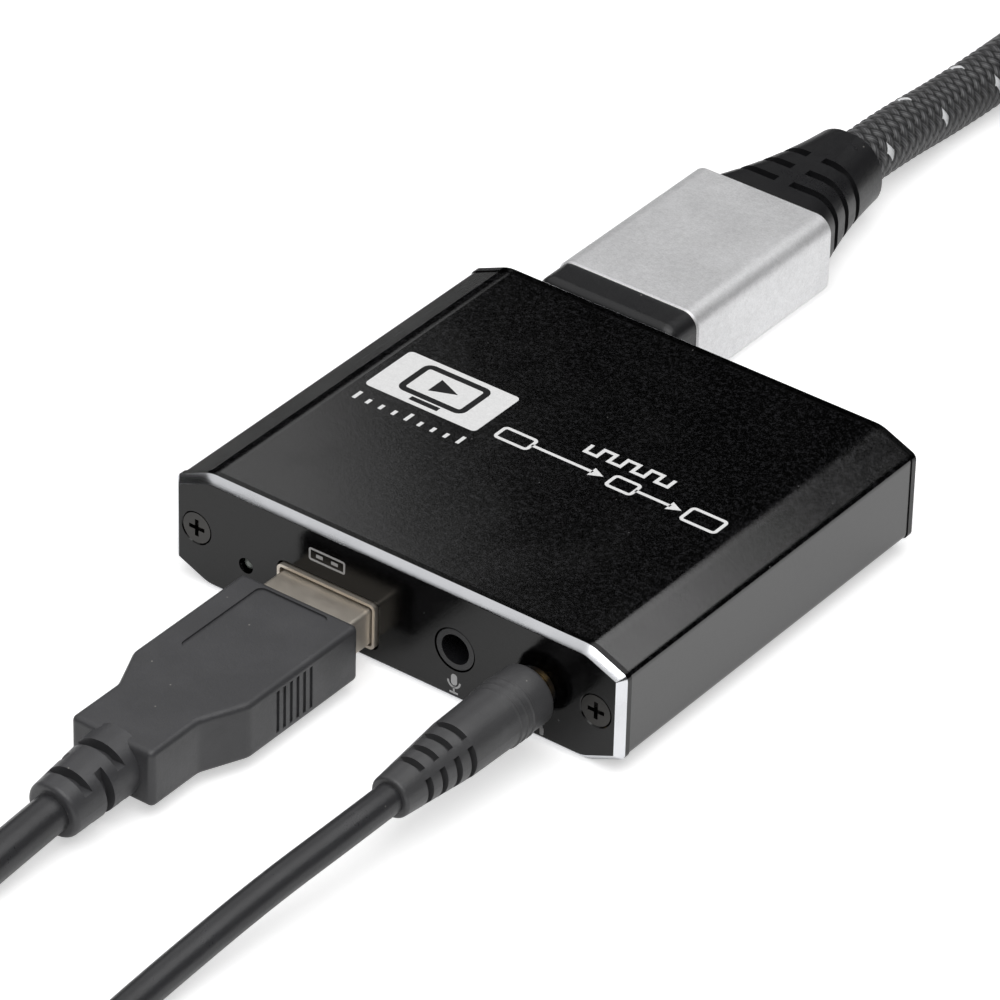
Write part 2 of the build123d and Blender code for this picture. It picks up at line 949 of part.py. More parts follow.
def make_usb_relief(droop):
    """The USB strain relief: a tapered stub with slots above and below, then beside."""
    stub = disc(usb_relief_tip, -usb_relief_length, 0, far_diameter=usb_relief_root)
    stub = fillet(stub.faces().sort_by(Axis.Y)[0].edges(), usb_relief_edge)
    stub += disc(usb_relief_root, 0, usb_relief_sunk)
    for place in range(usb_slot_count):
        share = (usb_slot_first + place * usb_slot_pitch) / usb_relief_length
        outer = usb_relief_root + (usb_relief_tip - usb_relief_root) * share
        groove = ring_slot(outer, usb_slot_depth, usb_slot_width, -share * usb_relief_length)
        flat = usb_slot_share * outer / 2
        if place % 2 == 0:
            groove -= Box(2 * outer, 4 * usb_relief_length, 2 * flat)
        else:
            groove -= Box(2 * flat, 4 * usb_relief_length, 2 * outer)
        stub -= groove
    return Pos(0, -usb_mould_length, 0) * Rot(droop, 0, 0) * stub


def make_usb_mould(droop):
    """The USB plug's overmould: a grip that narrows at a waist, then the strain relief."""
    front, rear = usb_mould_width / 2, usb_mould_rear_width / 2
    outline = Polygon(
        (-front, 0),
        (-front, -usb_waist_start),
        (-rear, -usb_waist_end),
        (-rear, -usb_mould_length),
        (rear, -usb_mould_length),
        (rear, -usb_waist_end),
        (front, -usb_waist_start),
        (front, 0),
        align=None,
    )
    waist = [
        corner
        for corner in outline.vertices()
        if -usb_mould_length < corner.Y < 0
    ]
    outline = fillet(waist, usb_waist_round)
    mould = Pos(0, 0, -usb_mould_thickness / 2) * extrude(outline, amount=usb_mould_thickness)
    top = mould.faces().sort_by(Axis.Z)[-1]
    bottom = mould.faces().sort_by(Axis.Z)[0]
    corners = mould.edges().filter_by(Axis.Z).sort_by(Axis.Y)
    mould = fillet(
        top.edges() + bottom.edges() + corners[:2] + corners[-2:], usb_mould_edge
    )
    panel = Pos(0, -usb_panel_from_front - usb_panel_length / 2) * RectangleRounded(
        usb_panel_width, usb_panel_length, usb_panel_corner
    )
    floor = usb_mould_thickness / 2 - usb_panel_depth
    mould -= Pos(0, 0, floor) * extrude(panel, amount=usb_panel_depth + overrun)
    for side in (-1, 1):
        for place in range(grip_count):
            y = -grip_from_front - place * grip_pitch
            groove = Box(2 * grip_depth, grip_width, grip_height)
            mould -= Pos(side * usb_mould_width / 2, y, 0) * groove
    mould += make_usb_relief(droop)
    root = rounded(usb_metal_width, usb_metal_height, usb_metal_corner)
    return mould - prism(root, -usb_metal_root, overrun)


def make_audio_contacts():
    """The audio plug's sleeve, ring and tip, each a turned piece."""
    sleeve = disc(audio_pin, 0, audio_sleeve_end)
    ring = disc(audio_pin, audio_sleeve_end + audio_band, audio_ring_end)
    start = audio_ring_end + audio_band
    neck = audio_pin_length - audio_neck_from_tip
    radius = audio_pin / 2
    profile = Polygon(
        (0, start),
        (radius, start),
        (radius, neck - audio_tip_point),
        (audio_tip_neck / 2, neck),
        (radius, neck + audio_tip_point),
        (audio_tip_point / 2, audio_pin_length),
        (0, audio_pin_length),
        align=None,
    )
    tip = revolve(profile, Axis.Y)
    return Compound([sleeve, ring, tip])


def make_audio_bands():
    """The two insulating bands between the contacts of the audio plug."""
    bands = [
        disc(audio_pin, audio_sleeve_end, audio_sleeve_end + audio_band),
        disc(audio_pin, audio_ring_end, audio_ring_end + audio_band),
    ]
    return Compound(bands)


def make_audio_barrel():
    """The audio plug's moulded barrel, with grip rings and a slotted strain relief."""
    taper = (barrel_diameter - barrel_rear_diameter) / 2 / barrel_length
    outline = [(0, 0), (barrel_diameter / 2, 0)]
    for place in range(barrel_ridge_count):
        middle = -barrel_ridge_first - place * barrel_ridge_pitch
        surface = barrel_diameter / 2 + taper * middle
        outline += [
            (surface, middle + barrel_ridge_width / 2),
            (surface + barrel_ridge, middle + barrel_ridge_width / 4),
            (surface + barrel_ridge, middle - barrel_ridge_width / 4),
            (surface, middle - barrel_ridge_width / 2),
        ]
    outline += [(barrel_rear_diameter / 2, -barrel_length), (0, -barrel_length)]
    barrel = revolve(Polygon(*outline, align=None), Axis.Y)
    barrel = fillet(barrel.faces().sort_by(Axis.Y)[-1].edges(), barrel_front_edge)
    relief = disc(audio_relief_tip, -audio_relief_length, 0, far_diameter=barrel_rear_diameter)
    relief = fillet(relief.faces().sort_by(Axis.Y)[0].edges(), audio_relief_edge)
    for place in range(audio_slot_count):
        share = (audio_slot_first + place * audio_slot_pitch) / audio_relief_length
        outer = barrel_rear_diameter + (audio_relief_tip - barrel_rear_diameter) * share
        groove = ring_slot(outer, audio_slot_depth, audio_slot_width, -share * audio_relief_length)
        for turn in (45, 135):
            groove -= Rot(0, turn, 0) * Box(2 * outer, 4 * audio_relief_length, audio_bridge)
        relief -= groove
    return barrel + Pos(0, -barrel_length, 0) * relief


def make_video_metal():
    """The Video plug's metal shell."""
    shell = prism(video_profile(0), -video_metal_root, video_metal_length)
    return shell - prism(
        video_profile(-video_metal_wall), -video_metal_root - overrun, video_metal_length + overrun
    )


def make_video_core():
    """The insulator in the Video plug, with the slot that takes the socket's tongue."""
    tip = video_metal_length - video_core_recess
    core = prism(video_profile(-video_metal_wall - fit / 2), -video_metal_root, tip)
    return core - block(
        -video_core_slot_width / 2,
        video_core_slot_width / 2,
        tip - video_core_slot_depth,
        tip + overrun,
        -video_core_slot_height / 2,
        video_core_slot_height / 2,
    )


def make_video_collar():
    """The black collar in front of the cover, with the core that fills the cover's front."""
    nose = prism(rounded(nose_width, nose_height, collar_round), -nose_length, 0)
    collar_rear = -nose_length - collar_length
    ring = prism(rounded(collar_width, collar_height, collar_round), collar_rear, -nose_length)
    ring = fillet(ring.faces().sort_by(Axis.Y)[-1].outer_wire().edges(), collar_front_round)
    split = collar_rear - cover_length * core_split_share
    core = prism(cover_inside(fit), split, collar_rear)
    collar = nose + ring + core
    return collar - prism(video_profile(0), -video_metal_root, overrun)


def cover_inside(gap):
    """The inside outline of the cover, made smaller all round by a gap."""
    return rounded(
        cover_width - 2 * cover_wall - 2 * gap,
        cover_height - 2 * cover_wall - 2 * gap,
        cover_round - cover_wall,
    )


def make_video_cover():
    """The aluminium cover: a rounded rectangular tube with crisp bevelled ends."""
    front = -nose_length - collar_length
    rear = front - cover_length
    cover = prism(rounded(cover_width, cover_height, cover_round), rear, front)
    ends = cover.faces().sort_by(Axis.Y)
    cover = chamfer(ends[0].outer_wire().edges() + ends[-1].outer_wire().edges(), cover_edge)
    return cover - prism(cover_inside(0), rear - overrun, front + overrun)


def boot_size(share):
    """Width and height of the boot at a share of its length."""
    if share < boot_middle_share:
        near, far = boot_root_size, boot_middle_size
        part = share / boot_middle_share
    else:
        near, far = boot_middle_size, boot_tip_size
        part = (share - boot_middle_share) / (1 - boot_middle_share)
    return [start + (end - start) * part for start, end in zip(near, far)]


def make_video_boot():
    """The Video plug's boot: it narrows from the cover to the cord, with broken grooves."""
    front = -nose_length - collar_length - cover_length * core_split_share
    root = -nose_length - collar_length - cover_length
    core = prism(cover_inside(fit), root, front)
    sections = [
        Plane.XZ.offset(-root) * rounded(*boot_root_size, boot_root_round),
        Plane.XZ.offset(-root + boot_length * boot_middle_share)
        * rounded(*boot_middle_size, boot_middle_round),
        Plane.XZ.offset(-root + boot_length) * rounded(*boot_tip_size, boot_tip_round),
    ]
    boot = loft(sections)
    for place in range(boot_slot_count):
        distance = boot_slot_first + place * boot_slot_pitch
        width, height = boot_size(distance / boot_length)
        y = root - distance
        near, far = y - boot_slot_width / 2, y + boot_slot_width / 2
        outer = Rectangle(width + boot_root_size[0], height + boot_root_size[1])
        inner = rounded(
            width - 2 * boot_slot_depth, height - 2 * boot_slot_depth, boot_root_round
        )
        groove = prism(outer - inner, near, far)
        groove -= block(-boot_bridge / 2, boot_bridge / 2, near, far, -height, height)
        boot -= groove
    return boot + core


# Cords and hanks


def corner_radii(points):
    """The bend at each corner: 0.45 of the shorter run over the tangent of half the turn."""
    radii = []
    for before, corner, after in zip(points, points[1:], points[2:]):
        arriving = Vector(*corner) - Vector(*before)
        leaving = Vector(*after) - Vector(*corner)
        half_turn = math.radians(arriving.get_angle(leaving)) / 2
        shorter = min(arriving.length, leaving.length)
        radii.append(bend_share * shorter / math.tan(half_turn))
    return radii


def make_cord(points, diameter, name):
    """A round tube along straight runs joined by arcs."""
    radii = corner_radii(points)
    print(name, "bend radii", [round(radius, 1) for radius in radii])
    path = FilletPolyline(*points, radius=radii)
    start = Plane(origin=path @ 0, z_dir=path % 0)
    tube = sweep(start * Circle(diameter / 2), path=path)
    section = math.pi * diameter**2 / 4
    print(name, "length", round(path.length, 1), "volume share", tube.volume / section / path.length)
    return tube


class HankPath:
    """A put-away hank: runs in layers one over another, joined by half turns."""

    def __init__(self, start, heading, side, radius, run, layers, diameter):
        """start is the first point, heading -1 or 1 along Y, side -1 or 1 along X."""
        self.diameter = diameter
        self.pitch = diameter + turn_space
        self.pieces = []
        self.place, self.heading, self.side = start, heading, side
        for turn in range(2 * layers - 1):
            if turn % 2:
                self.climbing_run(run)
            else:
                self.level_run(run)
            self.half_turn(radius)
        self.level_run(diameter)

    def add(self, *points):
        """Adds a straight piece of two points or an arc of three, and moves to its end."""
        self.pieces.append((self.place, *points))
        self.place = points[-1]

    def level_run(self, length):
        """A straight run, level."""
        x, y, z = self.place
        self.add((x, y + self.heading * length, z))

    def climbing_run(self, length):
        """A run that starts level and then climbs one layer, as two arcs."""
        reach = length * climb_share
        self.level_run(length - reach)
        x, y, z = self.place
        flat, half = reach / 2, self.pitch / 2
        bend = (flat**2 + half**2) / (2 * half)
        lean = math.atan2(half, flat)
        along, up = bend * math.sin(lean), bend * (1 - math.cos(lean))
        forward = self.heading
        self.add((x, y + forward * along, z + up), (x, y + forward * flat, z + half))
        self.add(
            (x, y + forward * (reach - along), z + self.pitch - up),
            (x, y + forward * reach, z + self.pitch),
        )

    def half_turn(self, radius):
        """A level half turn, after which the cord heads the other way."""
        x, y, z = self.place
        crest = (x + self.side * radius, y + self.heading * radius, z)
        self.add(crest, (x + 2 * self.side * radius, y, z))
        self.heading, self.side = -self.heading, -self.side

    def edges(self):
        """The pieces as straight edges and arcs."""
        return [Line(*piece) if len(piece) == 2 else ThreePointArc(*piece) for piece in self.pieces]

    def least_gap(self):
        """The least clear space between one turn and another."""
        found = []
        for edge in self.edges():
            steps = math.ceil(edge.length / self.diameter * gap_samples)
            found += [edge @ (step / steps) for step in range(steps)]
        apart = round(gap_samples * gap_reach)
        distances = [
            (found[low] - found[high]).length
            for low in range(len(found))
            for high in range(low + apart, len(found))
        ]
        return min(distances) - self.diameter

    def tube(self, name):
        """The hank as one unbroken round tube."""
        path = Wire([edge.edge() for edge in self.edges()])
        start = Plane(origin=path @ 0, z_dir=path % 0)
        tube = sweep(start * Circle(self.diameter / 2), path=path)
        section = math.pi * self.diameter**2 / 4
        share = tube.volume / section / path.length
        print(name, "length", round(path.length, 1), "volume share", share)
        print(name, "least gap", round(self.least_gap(), 2))
        return tube


def tail_route(hank, runs, shift, height):
    """From the top of a hank along it, inwards, down, and straight into the far plug."""
    x, y, z = hank.place
    along, inwards, down, last = (hank.heading * run for run in runs)
    inside = hank.side * shift
    return [
        (x, y, z),
        (x, y + along, z),
        (
            x + inside * tail_shift_share,
            y + along + inwards,
            z - (z - height) * tail_drop_share,
        ),
        (x + inside, y + along + inwards + down, height),
        (x + inside, y + along + inwards + down + last, height),
    ]


def usb_hank():
    """The hank of the USB cord."""
    return HankPath(
        usb_route[-1], -1, -1, usb_hank_radius, usb_hank_run, usb_hank_layers, usb_cord
    )


def audio_hank():
    """The hank of the audio cord."""
    return HankPath(
        audio_route[-1], -1, -1, audio_hank_radius, audio_hank_run, audio_hank_layers, audio_cord
    )


def video_hank():
    """The hank of the video cord."""
    return HankPath(
        video_route[-1], 1, 1, video_hank_radius, video_hank_run, video_hank_layers, video_cord
    )


def usb_tail_route():
    """The way of the USB cord from its hank to the far plug."""
    rest = max(usb_mould_thickness, usb_relief_root) / 2
    return tail_route(usb_hank(), usb_tail_runs, usb_tail_shift, rest)


def audio_tail_route():
    """The way of the audio cord from its hank to the far plug."""
    rest = barrel_diameter / 2 + barrel_ridge
    return tail_route(audio_hank(), audio_tail_runs, audio_tail_shift, rest)


def video_tail_route():
    """The way of the video cord from its hank to the far plug."""
    return tail_route(video_hank(), video_tail_runs, video_tail_shift, video_z)


def far_place(tail, heading, reach):
    """Where a far plug's mating end stands, its own length past the end of the tail."""
    x, y, z = tail[-1]
    return (x, y + heading * reach, z)


# Leads: each gives its pieces by name


def facing(place, heading):
    """The place of a plug that mates towards +Y, or turned round towards -Y."""
    return Pos(*place) * (Rot(0, 0, 0) if heading > 0 else Rot(0, 0, 180))


def make_usb_lead():
    """The USB lead, plugged into the front, with its other end put away."""
    near = facing(usb_plug_place, 1)
    hank, tail = usb_hank(), usb_tail_route()
    reach = usb_mould_length + usb_relief_length
    far = facing(far_place(tail, hank.heading, reach), hank.heading)
    return {
        "usb_plug_shell": near * make_usb_metal(),
        "usb_plug_insulator": near * make_usb_core(),
        "usb_plug_contacts": near * make_usb_plug_contacts(),
        "usb_plug_overmould": near * make_usb_mould(usb_droop),
        "usb_cord": make_cord(usb_route, usb_cord, "usb_cord"),
        "usb_coil": hank.tube("usb_coil"),
        "usb_tail": make_cord(tail, usb_cord, "usb_tail"),
        "usb_far_shell": far * make_usb_metal(),
        "usb_far_insulator": far * make_usb_core(),
        "usb_far_overmould": far * make_usb_mould(0),
    }


def make_audio_lead():
    """The audio lead, plugged into the headphone socket, with its other end put away."""
    near = facing(audio_plug_place, 1)
    hank, tail = audio_hank(), audio_tail_route()
    reach = barrel_length + audio_relief_length
    far = facing(far_place(tail, hank.heading, reach), hank.heading)
    return {
        "audio_plug_contacts": near * make_audio_contacts(),
        "audio_plug_bands": near * make_audio_bands(),
        "audio_plug_barrel": near * make_audio_barrel(),
        "audio_cord": make_cord(audio_route, audio_cord, "audio_cord"),
        "audio_coil": hank.tube("audio_coil"),
        "audio_tail": make_cord(tail, audio_cord, "audio_tail"),
        "audio_far_contacts": far * make_audio_contacts(),
        "audio_far_bands": far * make_audio_bands(),
        "audio_far_barrel": far * make_audio_barrel(),
    }


def make_video_lead():
    """The video lead, plugged into the rear, with its other end put away."""
    near = facing(video_plug_place, -1)
    hank, tail = video_hank(), video_tail_route()
    far = facing(far_place(tail, hank.heading, video_plug_length), hank.heading)
    return {
        "video_plug_shell": near * make_video_metal(),
        "video_plug_insulator": near * make_video_core(),
        "video_plug_collar": near * make_video_collar(),
        "video_plug_cover": near * make_video_cover(),
        "video_plug_boot": near * make_video_boot(),
        "video_cord": make_cord(video_route, video_cord, "video_cord"),
        "video_coil": hank.tube("video_coil"),
        "video_tail": make_cord(tail, video_cord, "video_tail"),
        "video_far_shell": far * make_video_metal(),
        "video_far_insulator": far * make_video_core(),
        "video_far_collar": far * make_video_collar(),
        "video_far_cover": far * make_video_cover(),
        "video_far_boot": far * make_video_boot(),
    }


def make_box():
    """The box itself, piece by piece."""
    return {
        "sleeve": make_sleeve(),
        "front_plate": make_front_plate(),
        "rear_plate": make_rear_plate(),
        "front_screws": make_screws(True),
        "rear_screws": make_screws(False),
        "circuit_board": make_board(),
        "usb_socket_shell": make_usb_shell(),
        "usb_socket_insulator": make_usb_tongue(),
        "usb_socket_contacts": make_usb_contacts(),
        "microphone_socket": make_jack_body(microphone_x),
        "microphone_socket_pins": make_jack_pins(microphone_x),
        "headphone_socket": make_jack_body(headphone_x),
        "headphone_socket_pins": make_jack_pins(headphone_x),
        "video_in_shell": make_video_shell(-1),
        "video_in_insulator": make_video_tongue(-1),
        "video_in_contacts": make_video_contacts(-1),
        "video_out_shell": make_video_shell(1),
        "video_out_insulator": make_video_tongue(1),
        "video_out_contacts": make_video_contacts(1),
        "capture_chip": make_chip(capture_chip_size, capture_chip_shares),
        "splitter_chip": make_chip(splitter_chip_size, splitter_chip_shares),
        "memory_chip": make_memory_chip(),
        "sound_chip": make_chip(sound_chip_size, sound_chip_shares),
        "crystals": make_crystals(),
        "power_chokes": make_chokes(),
        "round_capacitors": make_cans(),
        "small_components": make_small_parts(),
        "status_light": make_light(),
    }


nodes = {**make_box(), **make_usb_lead(), **make_audio_lead(), **make_video_lead()}
os.makedirs("parts", exist_ok=True)
for name, shape in nodes.items():
    export_step(shape, f"parts/{name}.step")
print(len(nodes), "nodes written")
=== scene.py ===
"""Dresses the video capture box and its three leads for a picture.

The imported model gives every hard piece. This file gives them their finishes, lays the
cords as smooth curves, adds the polished edges and the printed signs, and sets the floor,
the lamps and the camera. Lengths are metres here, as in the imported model.
"""

import logging
import math
from dataclasses import dataclass, field
from enum import Enum

import bmesh
import bpy
import numpy as np
from mathutils import Matrix, Vector


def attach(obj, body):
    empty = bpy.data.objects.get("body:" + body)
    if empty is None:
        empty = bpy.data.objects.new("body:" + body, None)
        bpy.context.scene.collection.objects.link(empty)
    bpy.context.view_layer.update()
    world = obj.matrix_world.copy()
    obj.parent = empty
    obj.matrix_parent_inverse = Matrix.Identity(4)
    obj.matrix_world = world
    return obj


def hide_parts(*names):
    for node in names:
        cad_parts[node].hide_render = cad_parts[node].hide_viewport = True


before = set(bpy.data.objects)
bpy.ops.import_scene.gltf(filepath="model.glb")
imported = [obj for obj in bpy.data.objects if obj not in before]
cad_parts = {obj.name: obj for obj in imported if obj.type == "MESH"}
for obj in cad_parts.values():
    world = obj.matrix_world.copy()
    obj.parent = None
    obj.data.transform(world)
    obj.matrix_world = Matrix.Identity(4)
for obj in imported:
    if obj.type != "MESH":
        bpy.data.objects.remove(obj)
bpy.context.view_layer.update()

report = logging.getLogger("capture_box")

MM = 0.001
FULL_TURN = 2 * math.pi
Colour = tuple[float, float, float]
Place = tuple[float, float, float]
Flat = tuple[float, float]
Line = np.ndarray | list[Flat]
Socket = bpy.types.NodeSocket
Wiring = dict[str, object]
Piece = bpy.types.Object

WHOLE: Flat = (0.0, 1.0)
NOISE_SPREAD: Flat = (0.3, 0.7)

# The braid's shape, which its node group and its mesh share
YARNS = 8
YARN_MEAN = 0.58
YARN_LEAN = 0.42
CROWN_FALL = 0.75
CROWN_POWER = 3.0
TRACER_PERIODS: Flat = (8.0, 4.0)
TRACER_MARKS: Flat = (3.0, 1.0)


class Body(Enum):
    """The bodies that pieces ride on."""

    BOX = "box"
    USB_LEAD = "usb_lead"
    AUDIO_LEAD = "audio_lead"
    VIDEO_LEAD = "video_lead"


class Slot(Enum):
    """The record's material slots, one named for each kind of new piece."""

    POLISHED_EDGE = "bright_steel"
    PRINT = "white_plastic"
    DARK_PRINT = "black_anodised"
    CORD_JACKET = "cord_jacket"
    BRAID = "braid"
    TIE = "black_plastic"


# Node trees


class NodeSheet:
    """One node tree, with short calls that add its nodes and join them."""

    def __init__(self, tree: bpy.types.NodeTree) -> None:
        """Takes over a node tree."""
        self.tree = tree

    def add(self, kind: str, inputs: dict | None = None, **settings: object) -> bpy.types.Node:
        """Adds a node: its kind, a value or a socket for each input, and its own options."""
        node = self.tree.nodes.new("ShaderNode" + kind)
        for name, value in settings.items():
            setattr(node, name, value)
        for name, value in (inputs or {}).items():
            self.feed(node.inputs[name], value)
        return node

    def feed(self, socket: Socket, value: object) -> None:
        """Joins an output socket to an input, or writes a value on it."""
        if isinstance(value, Socket):
            self.tree.links.new(value, socket)
        else:
            socket.default_value = value

    def maths(self, operation: str, *values: object) -> Socket:
        """The result of one Math node on values or sockets."""
        return self.add("Math", dict(enumerate(values)), operation=operation).outputs[0]

    def times(self, product: object, *factors: object) -> Socket:
        """The product of values or sockets, from left to right."""
        for factor in factors:
            product = self.maths("MULTIPLY", product, factor)
        return product

    def span(self, value: Socket, source: Flat, target: Flat = WHOLE) -> Socket:
        """A value carried from one range to another, held inside the second."""
        return self.add("MapRange", dict(enumerate((value, *source, *target)))).outputs[0]

    def between(self, share: Socket, low: float, high: float) -> Socket:
        """A share carried to a range."""
        return self.span(share, WHOLE, (low, high))

    def tint(self, share: object, first: object, second: object) -> Socket:
        """A colour between two colours, by a share."""
        node = self.add("Mix", data_type="RGBA")
        for number, value in ((0, share), (6, first), (7, second)):
            self.feed(node.inputs[number], (*value, 1.0) if isinstance(value, tuple) else value)
        return node.outputs[2]

    def object_place(self, stretch: Place = (1.0, 1.0, 1.0)) -> Socket:
        """The place on the piece, in metres, squeezed by a factor on each axis."""
        place = self.add("TexCoord").outputs["Object"]
        node = self.add("Mapping", {"Vector": place, "Scale": stretch})
        return node.outputs[0]

    def noise(self, place: Socket, scale: object, detail: float, roughness: float = 0.5) -> Socket:
        """A noise value at a place."""
        inputs = {"Vector": place, "Scale": scale, "Detail": detail, "Roughness": roughness}
        return self.add("TexNoise", inputs).outputs[0]

    def bump(self, height: object, distance: float, normal: object = None) -> Socket:
        """A surface normal that leans as a height over the surface does."""
        inputs = {"Height": height, "Distance": distance, "Strength": 1.0}
        if normal is not None:
            inputs["Normal"] = normal
        return self.add("Bump", inputs).outputs[0]


class EffectGroup:
    """A node group with named inputs and outputs, ready to place in materials."""

    def __init__(self, name: str, inputs: dict[str, float], outputs: tuple[str, ...]) -> None:
        """Makes the group, its sockets, and its two end nodes."""
        self.tree = bpy.data.node_groups.new(name, "ShaderNodeTree")
        new_socket, kind = self.tree.interface.new_socket, "NodeSocketFloat"
        for title, value in inputs.items():
            socket = new_socket(name=title, in_out="INPUT", socket_type=kind)
            socket.default_value = value
        for title in outputs:
            new_socket(name=title, in_out="OUTPUT", socket_type=kind)
        self.sheet = NodeSheet(self.tree)
        self.inside = self.tree.nodes.new("NodeGroupInput").outputs
        self.outside = self.tree.nodes.new("NodeGroupOutput").inputs

    def give(self, title: str, value: Socket) -> None:
        """Puts a value out of the group."""
        self.tree.links.new(value, self.outside[title])

    def place(self, sheet: NodeSheet, **values: float) -> bpy.types.NodeOutputs:
        """Adds the group to a material, with the material's own values."""
        node = sheet.tree.nodes.new("ShaderNodeGroup")
        node.node_tree = self.tree
        for title, value in values.items():
            node.inputs[title].default_value = value
        return node.outputs


class SharedEffects:
    """The effects that more than one finish uses, each built once."""

    def __init__(self) -> None:
        """Builds the groups."""
        self.grain = self.build_grain()
        self.handling = self.build_handling()
        self.drawn = self.build_drawn()
        self.weave = self.build_weave()

    def build_grain(self) -> EffectGroup:
        """Blasted or moulded grain, of a fine noise and one three times wider, and a cloud."""
        group = EffectGroup("blasted_grain", {"Fineness": 6000.0}, ("Grain", "Cloud"))
        sheet = group.sheet
        place = sheet.object_place()
        fineness = group.inside["Fineness"]
        fine_share, wide_scale, cloud_scale = 0.65, 0.31, 0.02
        fine = sheet.noise(place, fineness, 2.0, 0.6)
        wide = sheet.noise(place, sheet.times(fineness, wide_scale), 1.0)
        both = sheet.maths("ADD", sheet.times(fine, fine_share), sheet.times(wide, 1 - fine_share))
        group.give("Grain", sheet.span(both, NOISE_SPREAD))
        cloud = sheet.noise(place, sheet.times(fineness, cloud_scale), 3.0)
        group.give("Cloud", sheet.span(cloud, NOISE_SPREAD))
        return group

    def build_handling(self) -> EffectGroup:
        """Marks of use: soft smudges, and lint or dust specks in a few cells of a pattern."""
        inputs = {"Smudge size": 120.0, "Speck size": 1700.0, "Specks": 0.01}
        group = EffectGroup("handling", inputs, ("Smudge", "Speck"))
        sheet = group.sheet
        place = sheet.object_place()
        smudge_spread, speck_edge = (0.42, 0.66), (0.08, 0.2)
        smudge = sheet.noise(place, group.inside["Smudge size"], 4.0, 0.55)
        group.give("Smudge", sheet.span(smudge, smudge_spread))
        cells = sheet.add("TexVoronoi", {"Vector": place, "Scale": group.inside["Speck size"]})
        near = sheet.span(cells.outputs["Distance"], speck_edge, WHOLE[::-1])
        draw = sheet.add("SeparateColor", {0: cells.outputs["Color"]}).outputs[0]
        chosen = sheet.maths("LESS_THAN", draw, group.inside["Specks"])
        group.give("Speck", sheet.times(near, chosen))
        return group

    def build_drawn(self) -> EffectGroup:
        """Lines left by a die or a cutter: noise drawn out along one axis."""
        group = EffectGroup("drawn_lines", {"Fineness": 9000.0}, ("Along X", "Along Y"))
        sheet = group.sheet
        squeeze = 0.01
        for title, stretch in (("Along X", (squeeze, 1.0, 1.0)), ("Along Y", (1.0, squeeze, 1.0))):
            lines = sheet.noise(sheet.object_place(stretch), group.inside["Fineness"], 2.0)
            group.give(title, sheet.span(lines, NOISE_SPREAD))
        return group

    def build_weave(self) -> EffectGroup:
        """A plain braid on a tube's own map.

        With u once round the tube and v along it in pitches, one set of yarns runs along
        the sum a = yarns * u + v and the other along the difference b = yarns * u - v. Each
        yarn is a half round between whole numbers of a or b, and the product
        sin(pi a) * sin(pi b) lifts one set where it is positive and the other elsewhere.
        """
        group = EffectGroup("braid", {"Yarns": YARNS, "Strands": 4.0}, ("Height", "Strand", "Tracer"))
        sheet = group.sheet
        parts = sheet.add("SeparateXYZ", {0: sheet.add("UVMap", uv_map="UVMap").outputs[0]})
        around = sheet.times(parts.outputs[0], group.inside["Yarns"])
        sets = [sheet.maths(kind, around, parts.outputs[1]) for kind in ("ADD", "SUBTRACT")]
        waves = [sheet.maths("SINE", sheet.times(value, math.pi)) for value in sets]
        crossing = sheet.times(*waves)
        heights, strands = [], []
        for value, lean in zip(sets, (YARN_LEAN, -YARN_LEAN)):
            share = sheet.maths("FRACT", value)
            offset = sheet.maths("ABSOLUTE", sheet.maths("MULTIPLY_ADD", share, 2.0, -1.0))
            fall = sheet.times(sheet.maths("POWER", offset, CROWN_POWER), CROWN_FALL)
            lift = sheet.maths("MULTIPLY_ADD", crossing, lean, YARN_MEAN)
            heights.append(sheet.times(sheet.maths("SUBTRACT", 1.0, fall), lift))
            ripple = sheet.times(share, group.inside["Strands"], FULL_TURN)
            strands.append(sheet.maths("MULTIPLY_ADD", sheet.maths("COSINE", ripple), -0.5, 0.5))
        group.give("Height", sheet.maths("MAXIMUM", *heights))
        first_over = sheet.maths("GREATER_THAN", *heights)
        picked = sheet.add("Mix", {0: first_over, 2: strands[1], 3: strands[0]}).outputs[0]
        group.give("Strand", picked)
        chosen = []
        for value, period, mark in zip(sets, TRACER_PERIODS, TRACER_MARKS):
            yarn = sheet.maths("FLOORED_MODULO", sheet.maths("FLOOR", value), period)
            chosen.append(sheet.maths("COMPARE", yarn, mark, 0.2))
        group.give("Tracer", sheet.times(*chosen, first_over))
        return group


# Finishes


@dataclass(frozen=True)
class Finish:
    """A surface finish. Its fields stand on the shader itself, and texture() varies it."""

    title: str
    colour: Colour
    roughness: float
    metallic: float = 0.0
    ior: float = 1.5
    coat: float = 0.0
    coat_roughness: float = 0.1

    def material(self, effects: SharedEffects) -> bpy.types.Material:
        """Makes the material, whose nodes carry the finish."""
        material = bpy.data.materials.new(self.title)
        material.use_nodes = True
        sheet = NodeSheet(material.node_tree)
        shader = material.node_tree.nodes["Principled BSDF"]
        values = {
            "Base Color": (*self.colour, 1.0),
            "Roughness": self.roughness,
            "Metallic": self.metallic,
            "IOR": self.ior,
            "Coat Weight": self.coat,
            "Coat Roughness": self.coat_roughness,
        }
        for wiring in (values, self.texture(sheet, effects)):
            for name, value in wiring.items():
                sheet.feed(shader.inputs[name], value)
        material.diffuse_color = (*self.colour, 1.0)
        return material

    def texture(self, sheet: NodeSheet, effects: SharedEffects) -> Wiring:
        """What varies over the surface, for the shader's inputs: nothing on a plain one."""
        return {}

    def lighter(self, factor: float) -> Colour:
        """The finish's colour times a factor."""
        return tuple(min(channel * factor, 1.0) for channel in self.colour)

    def rougher(self, sheet: NodeSheet, share: Socket, low: float, high: float) -> Socket:
        """The finish's roughness times a factor that a share takes from low to high."""
        return sheet.between(share, self.roughness * low, self.roughness * high)


